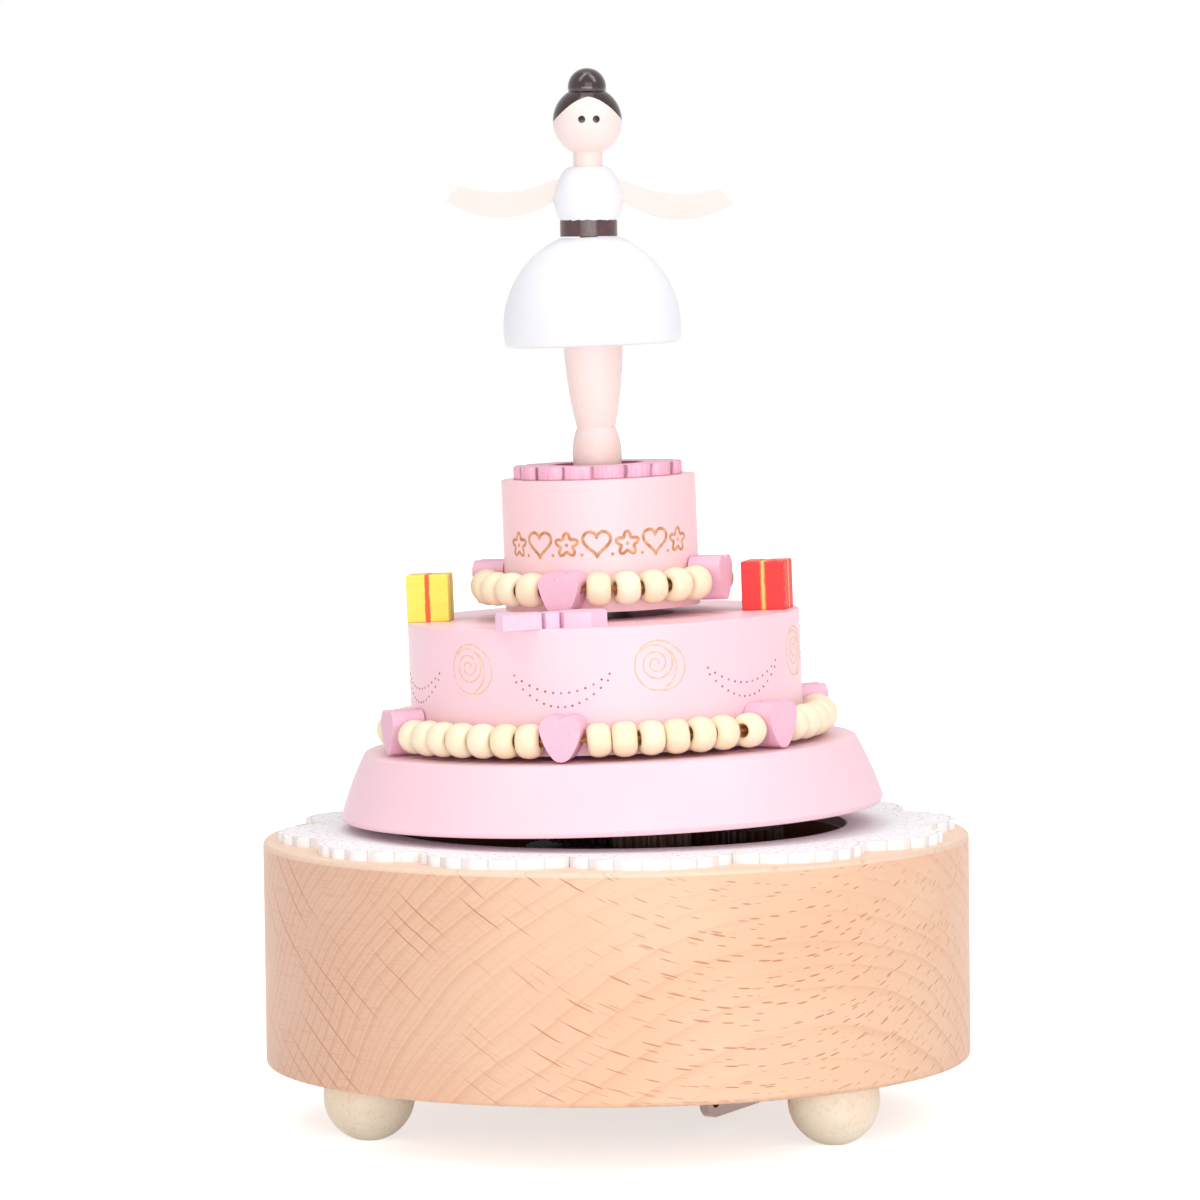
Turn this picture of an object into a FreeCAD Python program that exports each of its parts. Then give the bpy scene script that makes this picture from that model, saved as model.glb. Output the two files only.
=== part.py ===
import FreeCAD
import Part
import Sketcher
import math
import os
import re

# Driving dimensions of the music box, in millimetres and degrees
SIZES = {
    # drum
    "drum_radius": 60.0,
    "drum_height": 37.95,
    "drum_lift": 11.2,
    "drum_edge": 0.75,
    "drum_floor": 4.0,
    "cavity_radius": 38.5,
    # feet
    "foot_radius": 7.7,
    "foot_flat_radius": 2.0,
    "foot_circle": 45.2,
    "foot_direction": 202.0,
    "foot_count": 3,
    "foot_dowel_radius": 2.5,
    "foot_dowel_length": 6.0,
    # lace doily
    "lace_thickness": 1.6,
    "lace_hole_radius": 38.7,
    "lace_shift": 0.45,
    "lace_lobes": 12,
    "lace_lobe_radius": 14.8,
    "lace_lobe_circle": 42.6,
    "lace_direction": 276.0,
    "lace_scallops": 7,
    "scallop_rise": 0.7,
    # fits
    "fit_gap": 0.02,
    "running_gap": 0.05,
    "thrust_gap": 0.1,
    "rest_gap": 0.3,
    # lean of the cake's spindle
    "lean_angle": 1.5,
    "lean_pivot": 23.0,
    # gear train under the cake
    "gear_module": 0.6,
    "gear_width": 2.2,
    "cake_gear_width": 2.6,
    "level_gap": 0.7,
    "mesh_clearance": 0.08,
    "backlash": 0.16,
    "cake_pinion_teeth": 28,
    "idler_teeth": 20,
    "cake_gear_teeth": 34,
    "tier_pinion_teeth": 26,
    "tier_gear_teeth": 47,
    "dancer_pinion_teeth": 41,
    "dancer_gear_teeth": 32,
    "key_direction": -25.0,
    "cake_gear_drop": 2.3,
    "idler_pin_radius": 0.9,
    "idler_boss_radius": 1.5,
    # gear deck and spindle bush
    "deck_gap": 2.0,
    "deck_thickness": 1.5,
    "deck_back": 26.5,
    "deck_drop": 0.8,
    "pillar_radius": 2.5,
    "pillar_inset": 3.5,
    "pillar_direction": 35.0,
    "pillar_count": 3,
    "pillar_stud": 3.0,
    "bush_radius": 4.0,
    "bush_flange_radius": 5.5,
    "bush_flange": 0.5,
    "bush_depth": 3.5,
    "bush_end": 1.0,
    # shafts on the spindle
    "rod_radius": 1.0,
    "tube_radius": 1.8,
    "hub_radius": 4.5,
    "collar_radius": 5.0,
    "tube_reach": 12.0,
    "rod_reach": 12.0,
    # cake board
    "board_gap": 2.6,
    "board_height": 11.5,
    "board_bottom_radius": 46.1,
    "board_top_radius": 42.0,
    "board_flare": 60.0,
    "board_edge": 1.0,
    "board_shift": 0.3,
    "board_core_radius": 11.5,
    # tiers
    "spacer_height": 0.8,
    "spacer_radius": 20.0,
    "middle_radius": 33.3,
    "middle_height": 21.0,
    "middle_edge": 0.4,
    "recess_radius": 12.0,
    "recess_depth": 5.0,
    "upper_gap": 1.4,
    "upper_radius": 16.5,
    "upper_height": 22.1,
    "upper_edge": 0.3,
    # flower ring
    "ring_radius": 14.4,
    "ring_hole_radius": 7.15,
    "ring_thickness": 2.2,
    "ring_petals": 16,
    "petal_rise": 0.9,
    "petal_direction": 266.7,
    # beads and hearts
    "bead_radius": 3.0,
    "bead_length": 4.1,
    "bead_hole_radius": 1.1,
    "bead_face_radius": 1.5,
    "string_radius": 0.4,
    "heart_width": 7.0,
    "heart_height": 7.5,
    "heart_depth": 5.6,
    "heart_lobe_rise": 0.65,
    "heart_tip_radius": 1.9,
    "heart_hole_radius": 0.8,
    "heart_string_height": 3.3,
    "heart_gap": 0.3,
    "lower_hearts": 6,
    "lower_beads_between": 7,
    "lower_heart_direction": 258.6,
    "lower_front_drop": 0.0,
    "upper_hearts": 4,
    "upper_beads_between": 5,
    "upper_heart_direction": 250.8,
    "upper_front_drop": 1.2,
    "upper_string_lift": 0.5,
    # gifts and bow
    "yellow_gift_side": 7.2,
    "yellow_gift_height": 8.0,
    "yellow_gift_left": 29.3,
    "yellow_gift_turn": -5.5,
    "red_gift_side": 7.5,
    "red_gift_height": 8.3,
    "red_gift_right": 27.9,
    "red_gift_front": 2.0,
    "red_gift_turn": -12.0,
    "gift_edge": 0.25,
    "bow_thickness": 2.6,
    "bow_knot_half": 1.1,
    "bow_knot_depth": 2.1,
    "bow_notch_half": 1.5,
    "bow_notch_depth": 0.9,
    "bow_inner_half": 1.9,
    "bow_inner_depth": 2.6,
    "bow_wing_round": 12.0,
    "bow_crest_half": 6.2,
    "bow_crest_depth": 4.2,
    "bow_tail_half": 7.6,
    "bow_tail_depth": 3.0,
    "bow_tip_half": 9.1,
    "bow_tip_depth": 2.2,
    "bow_end_half": 8.5,
    "bow_end_depth": 4.1,
    "bow_corner_half": 9.5,
    "bow_corner_depth": 2.5,
    "bow_left": 8.6,
    "bow_front": 28.6,
    "bow_turn": 8.0,
    # dancer
    "foot_sole_radius": 3.75,
    "foot_wide_radius": 4.2,
    "foot_wide_height": 3.6,
    "foot_sole_curve": 14.7,
    "foot_top_curve": 11.3,
    "ankle_radius": 3.3,
    "ankle_height": 8.0,
    "thigh_radius": 5.0,
    "leg_curve": 65.0,
    "leg_height": 21.9,
    "leg_tenon_radius": 3.0,
    "leg_tenon_length": 8.0,
    "skirt_radius": 14.9,
    "skirt_top_radius": 4.9,
    "skirt_height": 18.25,
    "skirt_curve": 16.5,
    "skirt_edge": 0.8,
    "waist_gap": 0.15,
    "waist_radius": 4.85,
    "belt_height": 2.7,
    "chest_radius": 5.94,
    "chest_height": 6.3,
    "shoulder_radius": 4.5,
    "shoulder_height": 10.5,
    "shoulder_round": 3.0,
    "torso_curve": 9.4,
    "collar_width": 0.6,
    "torso_height": 11.8,
    "waist_pin_radius": 1.5,
    "waist_pin_length": 11.0,
    "waist_pin_up": 4.0,
    "neck_radius": 2.45,
    "neck_tenon": 2.0,
    "head_radius": 5.85,
    "head_height": 19.5,
    "bun_radius": 3.25,
    "bun_height": 25.15,
    "arm_reach": 24.2,
    "arm_top_reach": 22.0,
    "arm_root": 6.0,
    "arm_root_low": 5.9,
    "arm_root_high": 9.5,
    "arm_tip_low": 5.8,
    "arm_tip_high": 8.3,
    "arm_under_curve": 16.1,
    "arm_over_curve": 21.0,
    "arm_thickness": 2.0,
    "arms_tilt": 1.3,
    # winding key and arbor
    "arbor_radius": 1.75,
    "arbor_top_rise": 0.5,
    "key_hole_radius": 4.0,
    "key_hub_radius": 3.2,
    "key_hub_gap": 0.8,
    "key_hub_length": 5.4,
    "key_wing_low": 3.0,
    "key_wing_round": 3.5,
    "key_wing_centre": 8.6,
    "key_wing_hole": 1.9,
    "key_wing_thickness": 1.6,
    "key_turn": 64.0,
    # movement
    "bed_left": 27.0,
    "bed_right": 30.0,
    "bed_front": 24.0,
    "bed_back": 16.0,
    "bed_thickness": 2.0,
    "bed_radius": 37.6,
    "bed_screw_inset": 5.0,
    "floor_screw_radius": 1.3,
    "floor_screw_head_radius": 2.6,
    "floor_screw_head": 1.5,
    "small_screw_radius": 0.9,
    "small_screw_head_radius": 1.8,
    "small_screw_head": 1.0,
    "small_screw_grip": 1.6,
    "housing_radius": 10.3,
    "housing_height": 10.0,
    "housing_wall": 0.8,
    "housing_ear_circle": 12.4,
    "housing_ear_radius": 2.6,
    "housing_ear_thickness": 1.2,
    "housing_ear_direction": 60.0,
    "spring_band": 0.45,
    "spring_pitch": 1.35,
    "spring_turns": 5,
    "spring_height": 7.6,
    "crown_module": 0.5,
    "crown_teeth": 48,
    "cylinder_pinion_teeth": 12,
    "crown_face": 2.0,
    "crown_disc": 1.6,
    "crown_tooth_height": 1.4,
    "crown_tooth_drop": 0.8,
    "cylinder_radius": 6.5,
    "cylinder_length": 21.2,
    "cylinder_arbor_radius": 1.0,
    "pin_radius": 0.22,
    "pin_height": 0.5,
    "pin_turn": 137.5,
    "note_turn": 61.0,
    "notes_per_track": 3,
    "cylinder_post": 2.2,
    "post_gap": 0.6,
    "post_width": 5.0,
    "comb_teeth": 18,
    "comb_tooth_length": 9.6,
    "comb_slot": 0.35,
    "comb_heel": 7.0,
    "comb_thickness": 1.0,
    "comb_clearance": 0.15,
    "governor_module": 0.4,
    "cylinder_wheel_teeth": 36,
    "governor_pinion_teeth": 12,
    "cylinder_wheel_width": 1.2,
    "governor_arbor_radius": 0.6,
    "worm_module": 0.5,
    "worm_wheel_teeth": 24,
    "worm_wheel_width": 0.8,
    "worm_starts": 2,
    "worm_pitch_radius": 1.7,
    "worm_backlash": 0.5,
    "worm_clearance": 0.2,
    "bearing_reach": 2.0,
    "worm_shaft_radius": 0.6,
    "worm_length": 7.0,
    "fly_half_width": 3.6,
    "fly_height": 4.4,
    "fly_thickness": 0.8,
    "bracket_sheet": 1.2,
}

# Heights of the stack above the floor, each worked out from the pieces below it
DRUM_TOP = "(drum_lift + drum_height)"
FLOOR_TOP = "(drum_lift + drum_floor)"
BED_TOP = f"({FLOOR_TOP} + bed_thickness)"
HOUSING_TOP = f"({BED_TOP} + housing_height)"
CROWN_TEETH_BOTTOM = f"({HOUSING_TOP} + crown_tooth_drop)"
CROWN_BOTTOM = f"({CROWN_TEETH_BOTTOM} + crown_tooth_height)"
LACE_TOP = f"({DRUM_TOP} + lace_thickness)"
BOARD_BOTTOM = f"({LACE_TOP} + board_gap)"
BOARD_TOP = f"({BOARD_BOTTOM} + board_height)"
MIDDLE_BOTTOM = f"({BOARD_TOP} + spacer_height)"
MIDDLE_TOP = f"({MIDDLE_BOTTOM} + middle_height)"
RECESS_FLOOR = f"({MIDDLE_TOP} - recess_depth)"
UPPER_BOTTOM = f"({MIDDLE_TOP} + upper_gap)"
UPPER_TOP = f"({UPPER_BOTTOM} + upper_height)"
LEGS_BOTTOM = f"({UPPER_TOP} + rest_gap)"
SKIRT_BOTTOM = f"({LEGS_BOTTOM} + leg_height)"
SKIRT_TOP = f"({SKIRT_BOTTOM} + skirt_height)"
CAKE_GEAR_TOP = f"({BOARD_BOTTOM} - cake_gear_drop)"
CAKE_GEAR_BOTTOM = f"({CAKE_GEAR_TOP} - cake_gear_width)"
TIER_GEAR_TOP = f"({CAKE_GEAR_BOTTOM} - level_gap)"
TIER_GEAR_BOTTOM = f"({TIER_GEAR_TOP} - gear_width)"
DANCER_GEAR_TOP = f"({TIER_GEAR_BOTTOM} - level_gap)"
DANCER_GEAR_BOTTOM = f"({DANCER_GEAR_TOP} - gear_width)"
DECK_TOP = f"({DANCER_GEAR_BOTTOM} - deck_drop)"
DECK_BOTTOM = f"({DECK_TOP} - deck_thickness)"

# The gear deck just clears the drum's cavity, and its pillars stand inside its edge
DECK_RADIUS = "(cavity_radius - deck_gap)"
PILLAR_CIRCLE = f"({DECK_RADIUS} - pillar_inset)"

# Places in plan of the spindle at the dancer gear and of the winding arbor
SPINDLE_X = f"(-({DANCER_GEAR_TOP} - lean_pivot) * tan(lean_angle))"
KEY_DISTANCE = "(gear_module * (dancer_pinion_teeth + dancer_gear_teeth) / 2 + mesh_clearance)"
KEY_X = f"({SPINDLE_X} + {KEY_DISTANCE} * cos(key_direction))"
KEY_Y = f"({KEY_DISTANCE} * sin(key_direction))"

# The pin cylinder lies along X with its axis through the winding arbor's axis
CROWN_RADIUS = "(crown_module * crown_teeth / 2)"
PINION_RADIUS = "(crown_module * cylinder_pinion_teeth / 2)"
CYLINDER_Z = f"({CROWN_TEETH_BOTTOM} + crown_module - {PINION_RADIUS})"
PINION_LEFT = f"({KEY_X} - {CROWN_RADIUS} - crown_face / 2)"
RIGHT_POST_LEFT = f"({PINION_LEFT} - post_gap - cylinder_post)"
CYLINDER_RIGHT = f"({RIGHT_POST_LEFT} - post_gap)"
CYLINDER_LEFT = f"({CYLINDER_RIGHT} - cylinder_length)"
WHEEL_LEFT = f"({CYLINDER_LEFT} - post_gap - cylinder_wheel_width)"
LEFT_POST_LEFT = f"({WHEEL_LEFT} - post_gap - cylinder_post)"
GOVERNOR_REACH = "(governor_module * (cylinder_wheel_teeth + governor_pinion_teeth) / 2 + mesh_clearance)"
GOVERNOR_Y = f"({KEY_Y} + {GOVERNOR_REACH})"
WORM_WHEEL_LEFT = f"({LEFT_POST_LEFT} - worm_wheel_width)"
WORM_X = f"({WORM_WHEEL_LEFT} + worm_wheel_width / 2)"
WORM_Y = f"({GOVERNOR_Y} + worm_module * worm_wheel_teeth / 2 + worm_pitch_radius + worm_clearance)"
COMB_TIP_Y = f"({KEY_Y} + cylinder_radius + pin_height + comb_clearance)"
COMB_ROOT_Y = f"({COMB_TIP_Y} + comb_tooth_length)"

WORD = re.compile(r"[a-z][a-z_]*")
UP = FreeCAD.Vector(0, 0, 1)
ALONG_X = FreeCAD.Vector(1, 0, 0)
ALONG_Y = FreeCAD.Vector(0, 1, 0)
HERE = FreeCAD.Vector(0, 0, 0)
FULL_TURN = 360.0
HALF_TURN = 180.0
QUARTER_TURN = 90.0

# Tooth proportions: the pressure angle, and depths in modules
PRESSURE_ANGLE = 20.0
ROOT_DEPTH = 1.2
ROOT_STEP = 0.1
WORM_CREST = 0.5

# Where a heart's outline passes, as shares of its half width, its height and its lobe's rise
HEART_CREST_ACROSS = 0.5
HEART_CHEEK_ACROSS = 0.76
HEART_CHEEK_UP = 0.35
HEART_SHOULDER_DROP = 3.4
HEART_TIP_ACROSS = 0.8
HEART_TIP_UP = 0.4

doc = FreeCAD.newDocument("music_box")
sheet = doc.addObject("Spreadsheet::Sheet", "Sizes")
for row, (name, value) in enumerate(SIZES.items(), start=1):
    sheet.set(f"A{row}", name)
    sheet.set(f"B{row}", str(value))
    sheet.setAlias(f"B{row}", name)
doc.recompute()

sub_parts = []


def formula(text):
    """Write a formula of named sizes in the sheet's terms."""
    def in_sheet(word):
        """The sheet's name of a size, or the word itself where it is a function."""
        return f"Sizes.{word.group()}" if word.group() in SIZES else word.group()

    return WORD.sub(in_sheet, str(text))


def number(text):
    """Give the value of a formula of named sizes."""
    return float(sheet.evalExpression(formula(text)))


def count(name):
    """A size that is a count."""
    return int(round(number(name)))


def place(x, y, z):
    """A point given by three formulas."""
    return FreeCAD.Vector(number(x), number(y), number(z))


def keep(piece, label, placement=None):
    """Name a finished sub-part and, where it isn't upright on the drum's axis, place it."""
    piece.Label = label
    if placement is not None:
        piece.Placement = placement
    sub_parts.append(piece)
    return piece


def feature(label, shape, placement=None):
    """A sub-part whose shape is computed here from the named sizes."""
    piece = doc.addObject("Part::Feature", label)
    piece.Shape = shape
    if placement is not None:
        placement = placement.multiply(shape.Placement)
    return keep(piece, label, placement)


def new_body(label):
    """An empty body that will be the sub-part of this name."""
    return doc.addObject("PartDesign::Body", f"{label}_body")


def new_sketch(body, name, plane, offset=None):
    """A sketch on one of the body's own planes, moved along its normal by a formula."""
    sketch = body.newObject("Sketcher::SketchObject", name)
    origin_plane = [part for part in body.Origin.OriginFeatures if part.Role == plane][0]
    sketch.AttachmentSupport = [(origin_plane, "")]
    sketch.MapMode = "FlatFace"
    if offset is not None:
        sketch.setExpression("AttachmentOffset.Base.z", formula(offset))
    return sketch


def bind_point(sketch, edge, end, across, up):
    """Hold one end of a sketch edge at two formulas."""
    for kind, text in (("DistanceX", across), ("DistanceY", up)):
        held = sketch.addConstraint(Sketcher.Constraint(kind, -1, 1, edge, end, number(text)))
        sketch.setExpression(f"Constraints[{held}]", formula(text))


def draw_outline(sketch, corners):
    """Draw a closed outline; a corner is (across, up), or with a radius and a side an arc leaves it.

    The side says where the arc's centre lies for someone who walks along the outline.
    """
    points = [place(corner[0], corner[1], 0) for corner in corners]
    walks = []
    for index, corner in enumerate(corners):
        start = points[index]
        end = points[(index + 1) % len(points)]
        if len(corner) == 2:
            edge = sketch.addGeometry(Part.LineSegment(start, end), False)
            walks.append((edge, 1, 2))
            continue
        radius = number(corner[2])
        along = end - start
        normal = FreeCAD.Vector(-along.y, along.x, 0).normalize()
        if corner[3] == "right":
            normal = normal * -1
        centre = (start + end) / 2 + normal * math.sqrt(radius ** 2 - (along.Length / 2) ** 2)
        first, last = (start, end) if corner[3] == "left" else (end, start)
        angles = [math.atan2(point.y - centre.y, point.x - centre.x) for point in (first, last)]
        edge = sketch.addGeometry(Part.ArcOfCircle(Part.Circle(centre, UP, radius), *angles), False)
        walks.append((edge, 1, 2) if corner[3] == "left" else (edge, 2, 1))
        held = sketch.addConstraint(Sketcher.Constraint("Radius", edge, radius))
        sketch.setExpression(f"Constraints[{held}]", formula(corner[2]))
    for index, (edge, start, end) in enumerate(walks):
        next_edge, next_start, _ = walks[(index + 1) % len(walks)]
        sketch.addConstraint(Sketcher.Constraint("Coincident", edge, end, next_edge, next_start))
        bind_point(sketch, edge, start, corners[index][0], corners[index][1])


def draw_circle(sketch, across, up, radius):
    """Draw a circle at two formulas with a radius formula."""
    centre = place(across, up, 0)
    edge = sketch.addGeometry(Part.Circle(centre, UP, number(radius)), False)
    held = sketch.addConstraint(Sketcher.Constraint("Radius", edge, number(radius)))
    sketch.setExpression(f"Constraints[{held}]", formula(radius))
    bind_point(sketch, edge, 3, across, up)


def revolve(body, name, corners):
    """Turn an outline of radii and heights round the body's Z axis."""
    sketch = new_sketch(body, f"{name}_profile", "XZ_Plane")
    draw_outline(sketch, corners)
    turned = body.newObject("PartDesign::Revolution", name)
    turned.Profile = sketch
    turned.ReferenceAxis = (sketch, ["V_Axis"])
    turned.Angle = FULL_TURN
    doc.recompute()
    return turned


def pad(body, name, sketch, length, midplane=False, reverse=False):
    """Give a sketch its thickness."""
    solid = body.newObject("PartDesign::Pad", name)
    solid.Profile = sketch
    solid.setExpression("Length", formula(length))
    solid.Midplane = midplane
    solid.Reversed = reverse
    doc.recompute()
    return solid


def pocket(body, name, sketch, depth, upward=False):
    """Cut a sketch into the solid and make sure that it took material away."""
    before = body.Shape.Volume
    cut = body.newObject("PartDesign::Pocket", name)
    cut.Profile = sketch
    cut.setExpression("Length", formula(depth))
    cut.Reversed = upward
    doc.recompute()
    if body.Shape.Volume >= before:
        raise RuntimeError(f"{name} cuts nothing")
    return cut


def polar(body, name, cut, count):
    """Repeat a feature evenly round the body's Z axis."""
    pattern = body.newObject("PartDesign::PolarPattern", name)
    pattern.Originals = [cut]
    z_axis = [part for part in body.Origin.OriginFeatures if part.Role == "Z_Axis"][0]
    pattern.Axis = (z_axis, [""])
    pattern.Angle = FULL_TURN
    pattern.Occurrences = count
    body.Tip = pattern
    doc.recompute()
    return pattern


def cylinder(name, radius, height, x="0", y="0", z="0", axis=UP):
    """A cylinder whose sizes and place follow formulas."""
    solid = doc.addObject("Part::Cylinder", name)
    solid.setExpression("Radius", formula(radius))
    solid.setExpression("Height", formula(height))
    solid.Placement = FreeCAD.Placement(HERE, FreeCAD.Rotation(UP, axis))
    for letter, text in zip("xyz", (x, y, z)):
        solid.setExpression(f"Placement.Base.{letter}", formula(text))
    return solid


def rod(name, radius, length):
    """A cylinder that stands at the origin until it is placed."""
    solid = doc.addObject("Part::Cylinder", name)
    solid.setExpression("Radius", formula(radius))
    solid.setExpression("Height", formula(length))
    return solid


def block(name, low, span):
    """A box from its low corner and its three spans, all formulas."""
    solid = doc.addObject("Part::Box", name)
    for side, text in zip(("Length", "Width", "Height"), span):
        solid.setExpression(side, formula(text))
    for letter, text in zip("xyz", low):
        solid.setExpression(f"Placement.Base.{letter}", formula(text))
    return solid


def fuse(name, solids):
    """Join solids that are one piece."""
    joined = doc.addObject("Part::MultiFuse", name)
    joined.Shapes = solids
    return joined


def cut(name, solid, tools):
    """Take tools away from a solid."""
    tool = tools[0] if len(tools) == 1 else fuse(f"{name}_tools", tools)
    rest = doc.addObject("Part::Cut", name)
    rest.Base = solid
    rest.Tool = tool
    return rest


def involute(angle):
    """The involute function of a pressure angle in radians."""
    return math.tan(angle) - angle


def gear_shape(module, teeth, width, bore, first_tooth=0.0):
    """A spur gear on Z from z = 0, with involute flanks; first_tooth is a tooth's direction."""
    pressure = math.radians(PRESSURE_ANGLE)
    pitch_radius = module * teeth / 2
    base_radius = pitch_radius * math.cos(pressure)
    root_radius = pitch_radius - ROOT_DEPTH * module
    tip_radius = pitch_radius + module
    half_thick = math.pi / (2 * teeth) - number("backlash") / (4 * pitch_radius)

    def half_angle(radius):
        """Half the angle that a tooth fills at a radius."""
        inside = max(radius, base_radius)
        return half_thick + involute(pressure) - involute(math.acos(base_radius / inside))

    flank = [root_radius, max(base_radius, root_radius + ROOT_STEP * module), pitch_radius, tip_radius]
    points = []
    for tooth in range(teeth):
        middle = math.radians(first_tooth) + 2 * math.pi * tooth / teeth
        rising = [(radius, middle - half_angle(radius)) for radius in flank]
        falling = [(radius, middle + half_angle(radius)) for radius in reversed(flank)]
        for radius, angle in rising + falling:
            points.append(FreeCAD.Vector(radius * math.cos(angle), radius * math.sin(angle), 0))
    outline = Part.Face(Part.makePolygon(points + points[:1]))
    solid = outline.extrude(UP * width)
    return solid.cut(Part.makeCylinder(bore, width))


def mate_tooth(driver_teeth, driver_tooth, towards, driven_teeth):
    """The tooth direction of a gear that meshes with a driver, seen from the driver along towards."""
    step = FULL_TURN / driver_teeth
    off_line = (driver_tooth - towards + step / 2) % step - step / 2
    gap = towards + HALF_TURN - off_line * driver_teeth / driven_teeth
    return gap + FULL_TURN / driven_teeth / 2


def screw_shape(head_radius, head_height, radius, length):
    """A pan head screw that points down, with the head's underside at z = 0."""
    head = Part.makeCylinder(head_radius, head_height)
    slot_width = head_radius / 3
    slot_depth = head_height / 2
    slot = Part.makeBox(2 * head_radius, slot_width, slot_depth,
                        FreeCAD.Vector(-head_radius, -slot_width / 2, head_height - slot_depth))
    return head.cut(slot).fuse(Part.makeCylinder(radius, length, HERE, -UP)).removeSplitter()


def copies(shape, places):
    """One compound of copies of a shape, one for each placement."""
    made = []
    for where in places:
        one = shape.copy()
        one.Placement = where.multiply(one.Placement)
        made.append(one)
    return Part.makeCompound(made)


def at(x, y, z, turn=0.0, axis=UP):
    """A placement from three formulas and a turn."""
    return FreeCAD.Placement(place(x, y, z), FreeCAD.Rotation(axis, turn))


def even_directions(first, places):
    """Directions spread evenly over a full turn from the first."""
    return [first + FULL_TURN * index / places for index in range(places)]


def around(radius, z, directions):
    """Placements on a circle, each with X pointing outwards."""
    made = []
    for direction in directions:
        turn = FreeCAD.Rotation(UP, direction)
        made.append(FreeCAD.Placement(turn.multVec(FreeCAD.Vector(radius, 0, z)), turn))
    return made


leaning = FreeCAD.Placement(HERE, FreeCAD.Rotation(ALONG_Y, -number("lean_angle")),
                            place("0", "0", "lean_pivot"))


def leaning_piece(label, shape):
    """A computed sub-part on the leaning spindle."""
    return feature(label, shape, leaning)


# Drum, feet and doily


def make_drum():
    body = new_body("base_drum")
    revolve(body, "drum_wood", [
        ("0", "drum_lift"),
        ("drum_radius - drum_edge", "drum_lift", "drum_edge", "left"),
        ("drum_radius", "drum_lift + drum_edge"),
        ("drum_radius", f"{DRUM_TOP} - drum_edge", "drum_edge", "left"),
        ("drum_radius - drum_edge", DRUM_TOP),
        ("cavity_radius", DRUM_TOP),
        ("cavity_radius", FLOOR_TOP),
        ("0", FLOOR_TOP),
    ])
    key_hole = new_sketch(body, "key_hole_circle", "XY_Plane", "drum_lift")
    draw_circle(key_hole, KEY_X, KEY_Y, "key_hole_radius")
    pocket(body, "key_hole", key_hole, "drum_floor", upward=True)
    shanks = new_sketch(body, "floor_screw_circles", "XY_Plane", "drum_lift")
    heads = new_sketch(body, "screw_head_circles", "XY_Plane", "drum_lift")
    for x, y in floor_screw_places():
        draw_circle(shanks, x, y, "floor_screw_radius + fit_gap")
        draw_circle(heads, x, y, "floor_screw_head_radius + rest_gap")
    pocket(body, "floor_screw_holes", shanks, "drum_floor", upward=True)
    pocket(body, "screw_head_holes", heads, "floor_screw_head", upward=True)
    studs = new_sketch(body, "pillar_stud_circle", "XY_Plane", FLOOR_TOP)
    draw_circle(studs, f"{PILLAR_CIRCLE} * cos(pillar_direction)", f"{PILLAR_CIRCLE} * sin(pillar_direction)",
                "pillar_radius / 2 + fit_gap")
    stud_hole = pocket(body, "pillar_stud_hole", studs, "pillar_stud + fit_gap")
    polar(body, "pillar_stud_holes", stud_hole, count("pillar_count"))
    dowel = new_sketch(body, "foot_dowel_circle", "XY_Plane", "drum_lift")
    draw_circle(dowel, "foot_circle * cos(foot_direction)", "foot_circle * sin(foot_direction)",
                "foot_dowel_radius + fit_gap")
    dowel_hole = pocket(body, "foot_dowel_hole", dowel, "foot_dowel_length + fit_gap", upward=True)
    polar(body, "foot_dowel_holes", dowel_hole, count("foot_count"))
    keep(body, "base_drum")


def floor_screw_places():
    """Where the three screws of the movement go through the drum's floor."""
    left = "(bed_screw_inset - bed_left)"
    return [(left, "(bed_screw_inset - bed_front)"), (left, "(bed_back - bed_screw_inset)"),
            ("(bed_right - bed_screw_inset)", "(bed_back - bed_screw_inset)")]


def make_feet():
    radius = number("foot_radius")
    centre_height = math.sqrt(radius ** 2 - number("foot_flat_radius") ** 2)
    lift = number("drum_lift")
    ball = Part.makeSphere(radius, FreeCAD.Vector(0, 0, centre_height))
    between = Part.makeBox(4 * radius, 4 * radius, lift, FreeCAD.Vector(-2 * radius, -2 * radius, 0))
    dowel = Part.makeCylinder(number("foot_dowel_radius"), number("foot_dowel_length"),
                              FreeCAD.Vector(0, 0, lift))
    foot = ball.common(between).fuse(dowel).removeSplitter()
    directions = even_directions(number("foot_direction"), count("foot_count"))
    feature("feet", copies(foot, around(number("foot_circle"), 0, directions)))


def scallop(start, end, rise, centre):
    """An arc between two points that bulges away from the centre."""
    middle = (start + end) / 2
    outward = (middle - centre).normalize()
    return Part.Arc(start, middle + outward * rise, end).toShape()


def make_lace():
    lobes = count("lace_lobes")
    scallops = count("lace_scallops")
    lobe_radius = number("lace_lobe_radius")
    circle = number("lace_lobe_circle")
    half_step = math.pi / lobes
    notch = circle * math.cos(half_step) + math.sqrt(lobe_radius ** 2 - (circle * math.sin(half_step)) ** 2)
    spread = math.atan2(notch * math.sin(half_step), notch * math.cos(half_step) - circle)
    edges = []
    for lobe in range(lobes):
        direction = math.radians(number("lace_direction")) + 2 * half_step * lobe
        centre = FreeCAD.Vector(circle * math.cos(direction), circle * math.sin(direction), 0)
        points = []
        for step in range(scallops + 1):
            angle = direction - spread + 2 * spread * step / scallops
            points.append(centre + FreeCAD.Vector(math.cos(angle), math.sin(angle), 0) * lobe_radius)
        for start, end in zip(points, points[1:]):
            edges.append(scallop(start, end, number("scallop_rise"), centre))
    outline = Part.Face(Part.Wire(Part.__sortEdges__(edges)))
    sheet_of_ply = outline.extrude(UP * number("lace_thickness"))
    hole = Part.makeCylinder(number("lace_hole_radius"), number("lace_thickness"))
    feature("lace_doily", sheet_of_ply.cut(hole), at("lace_shift", "0", DRUM_TOP))


# Movement inside the drum


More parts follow.
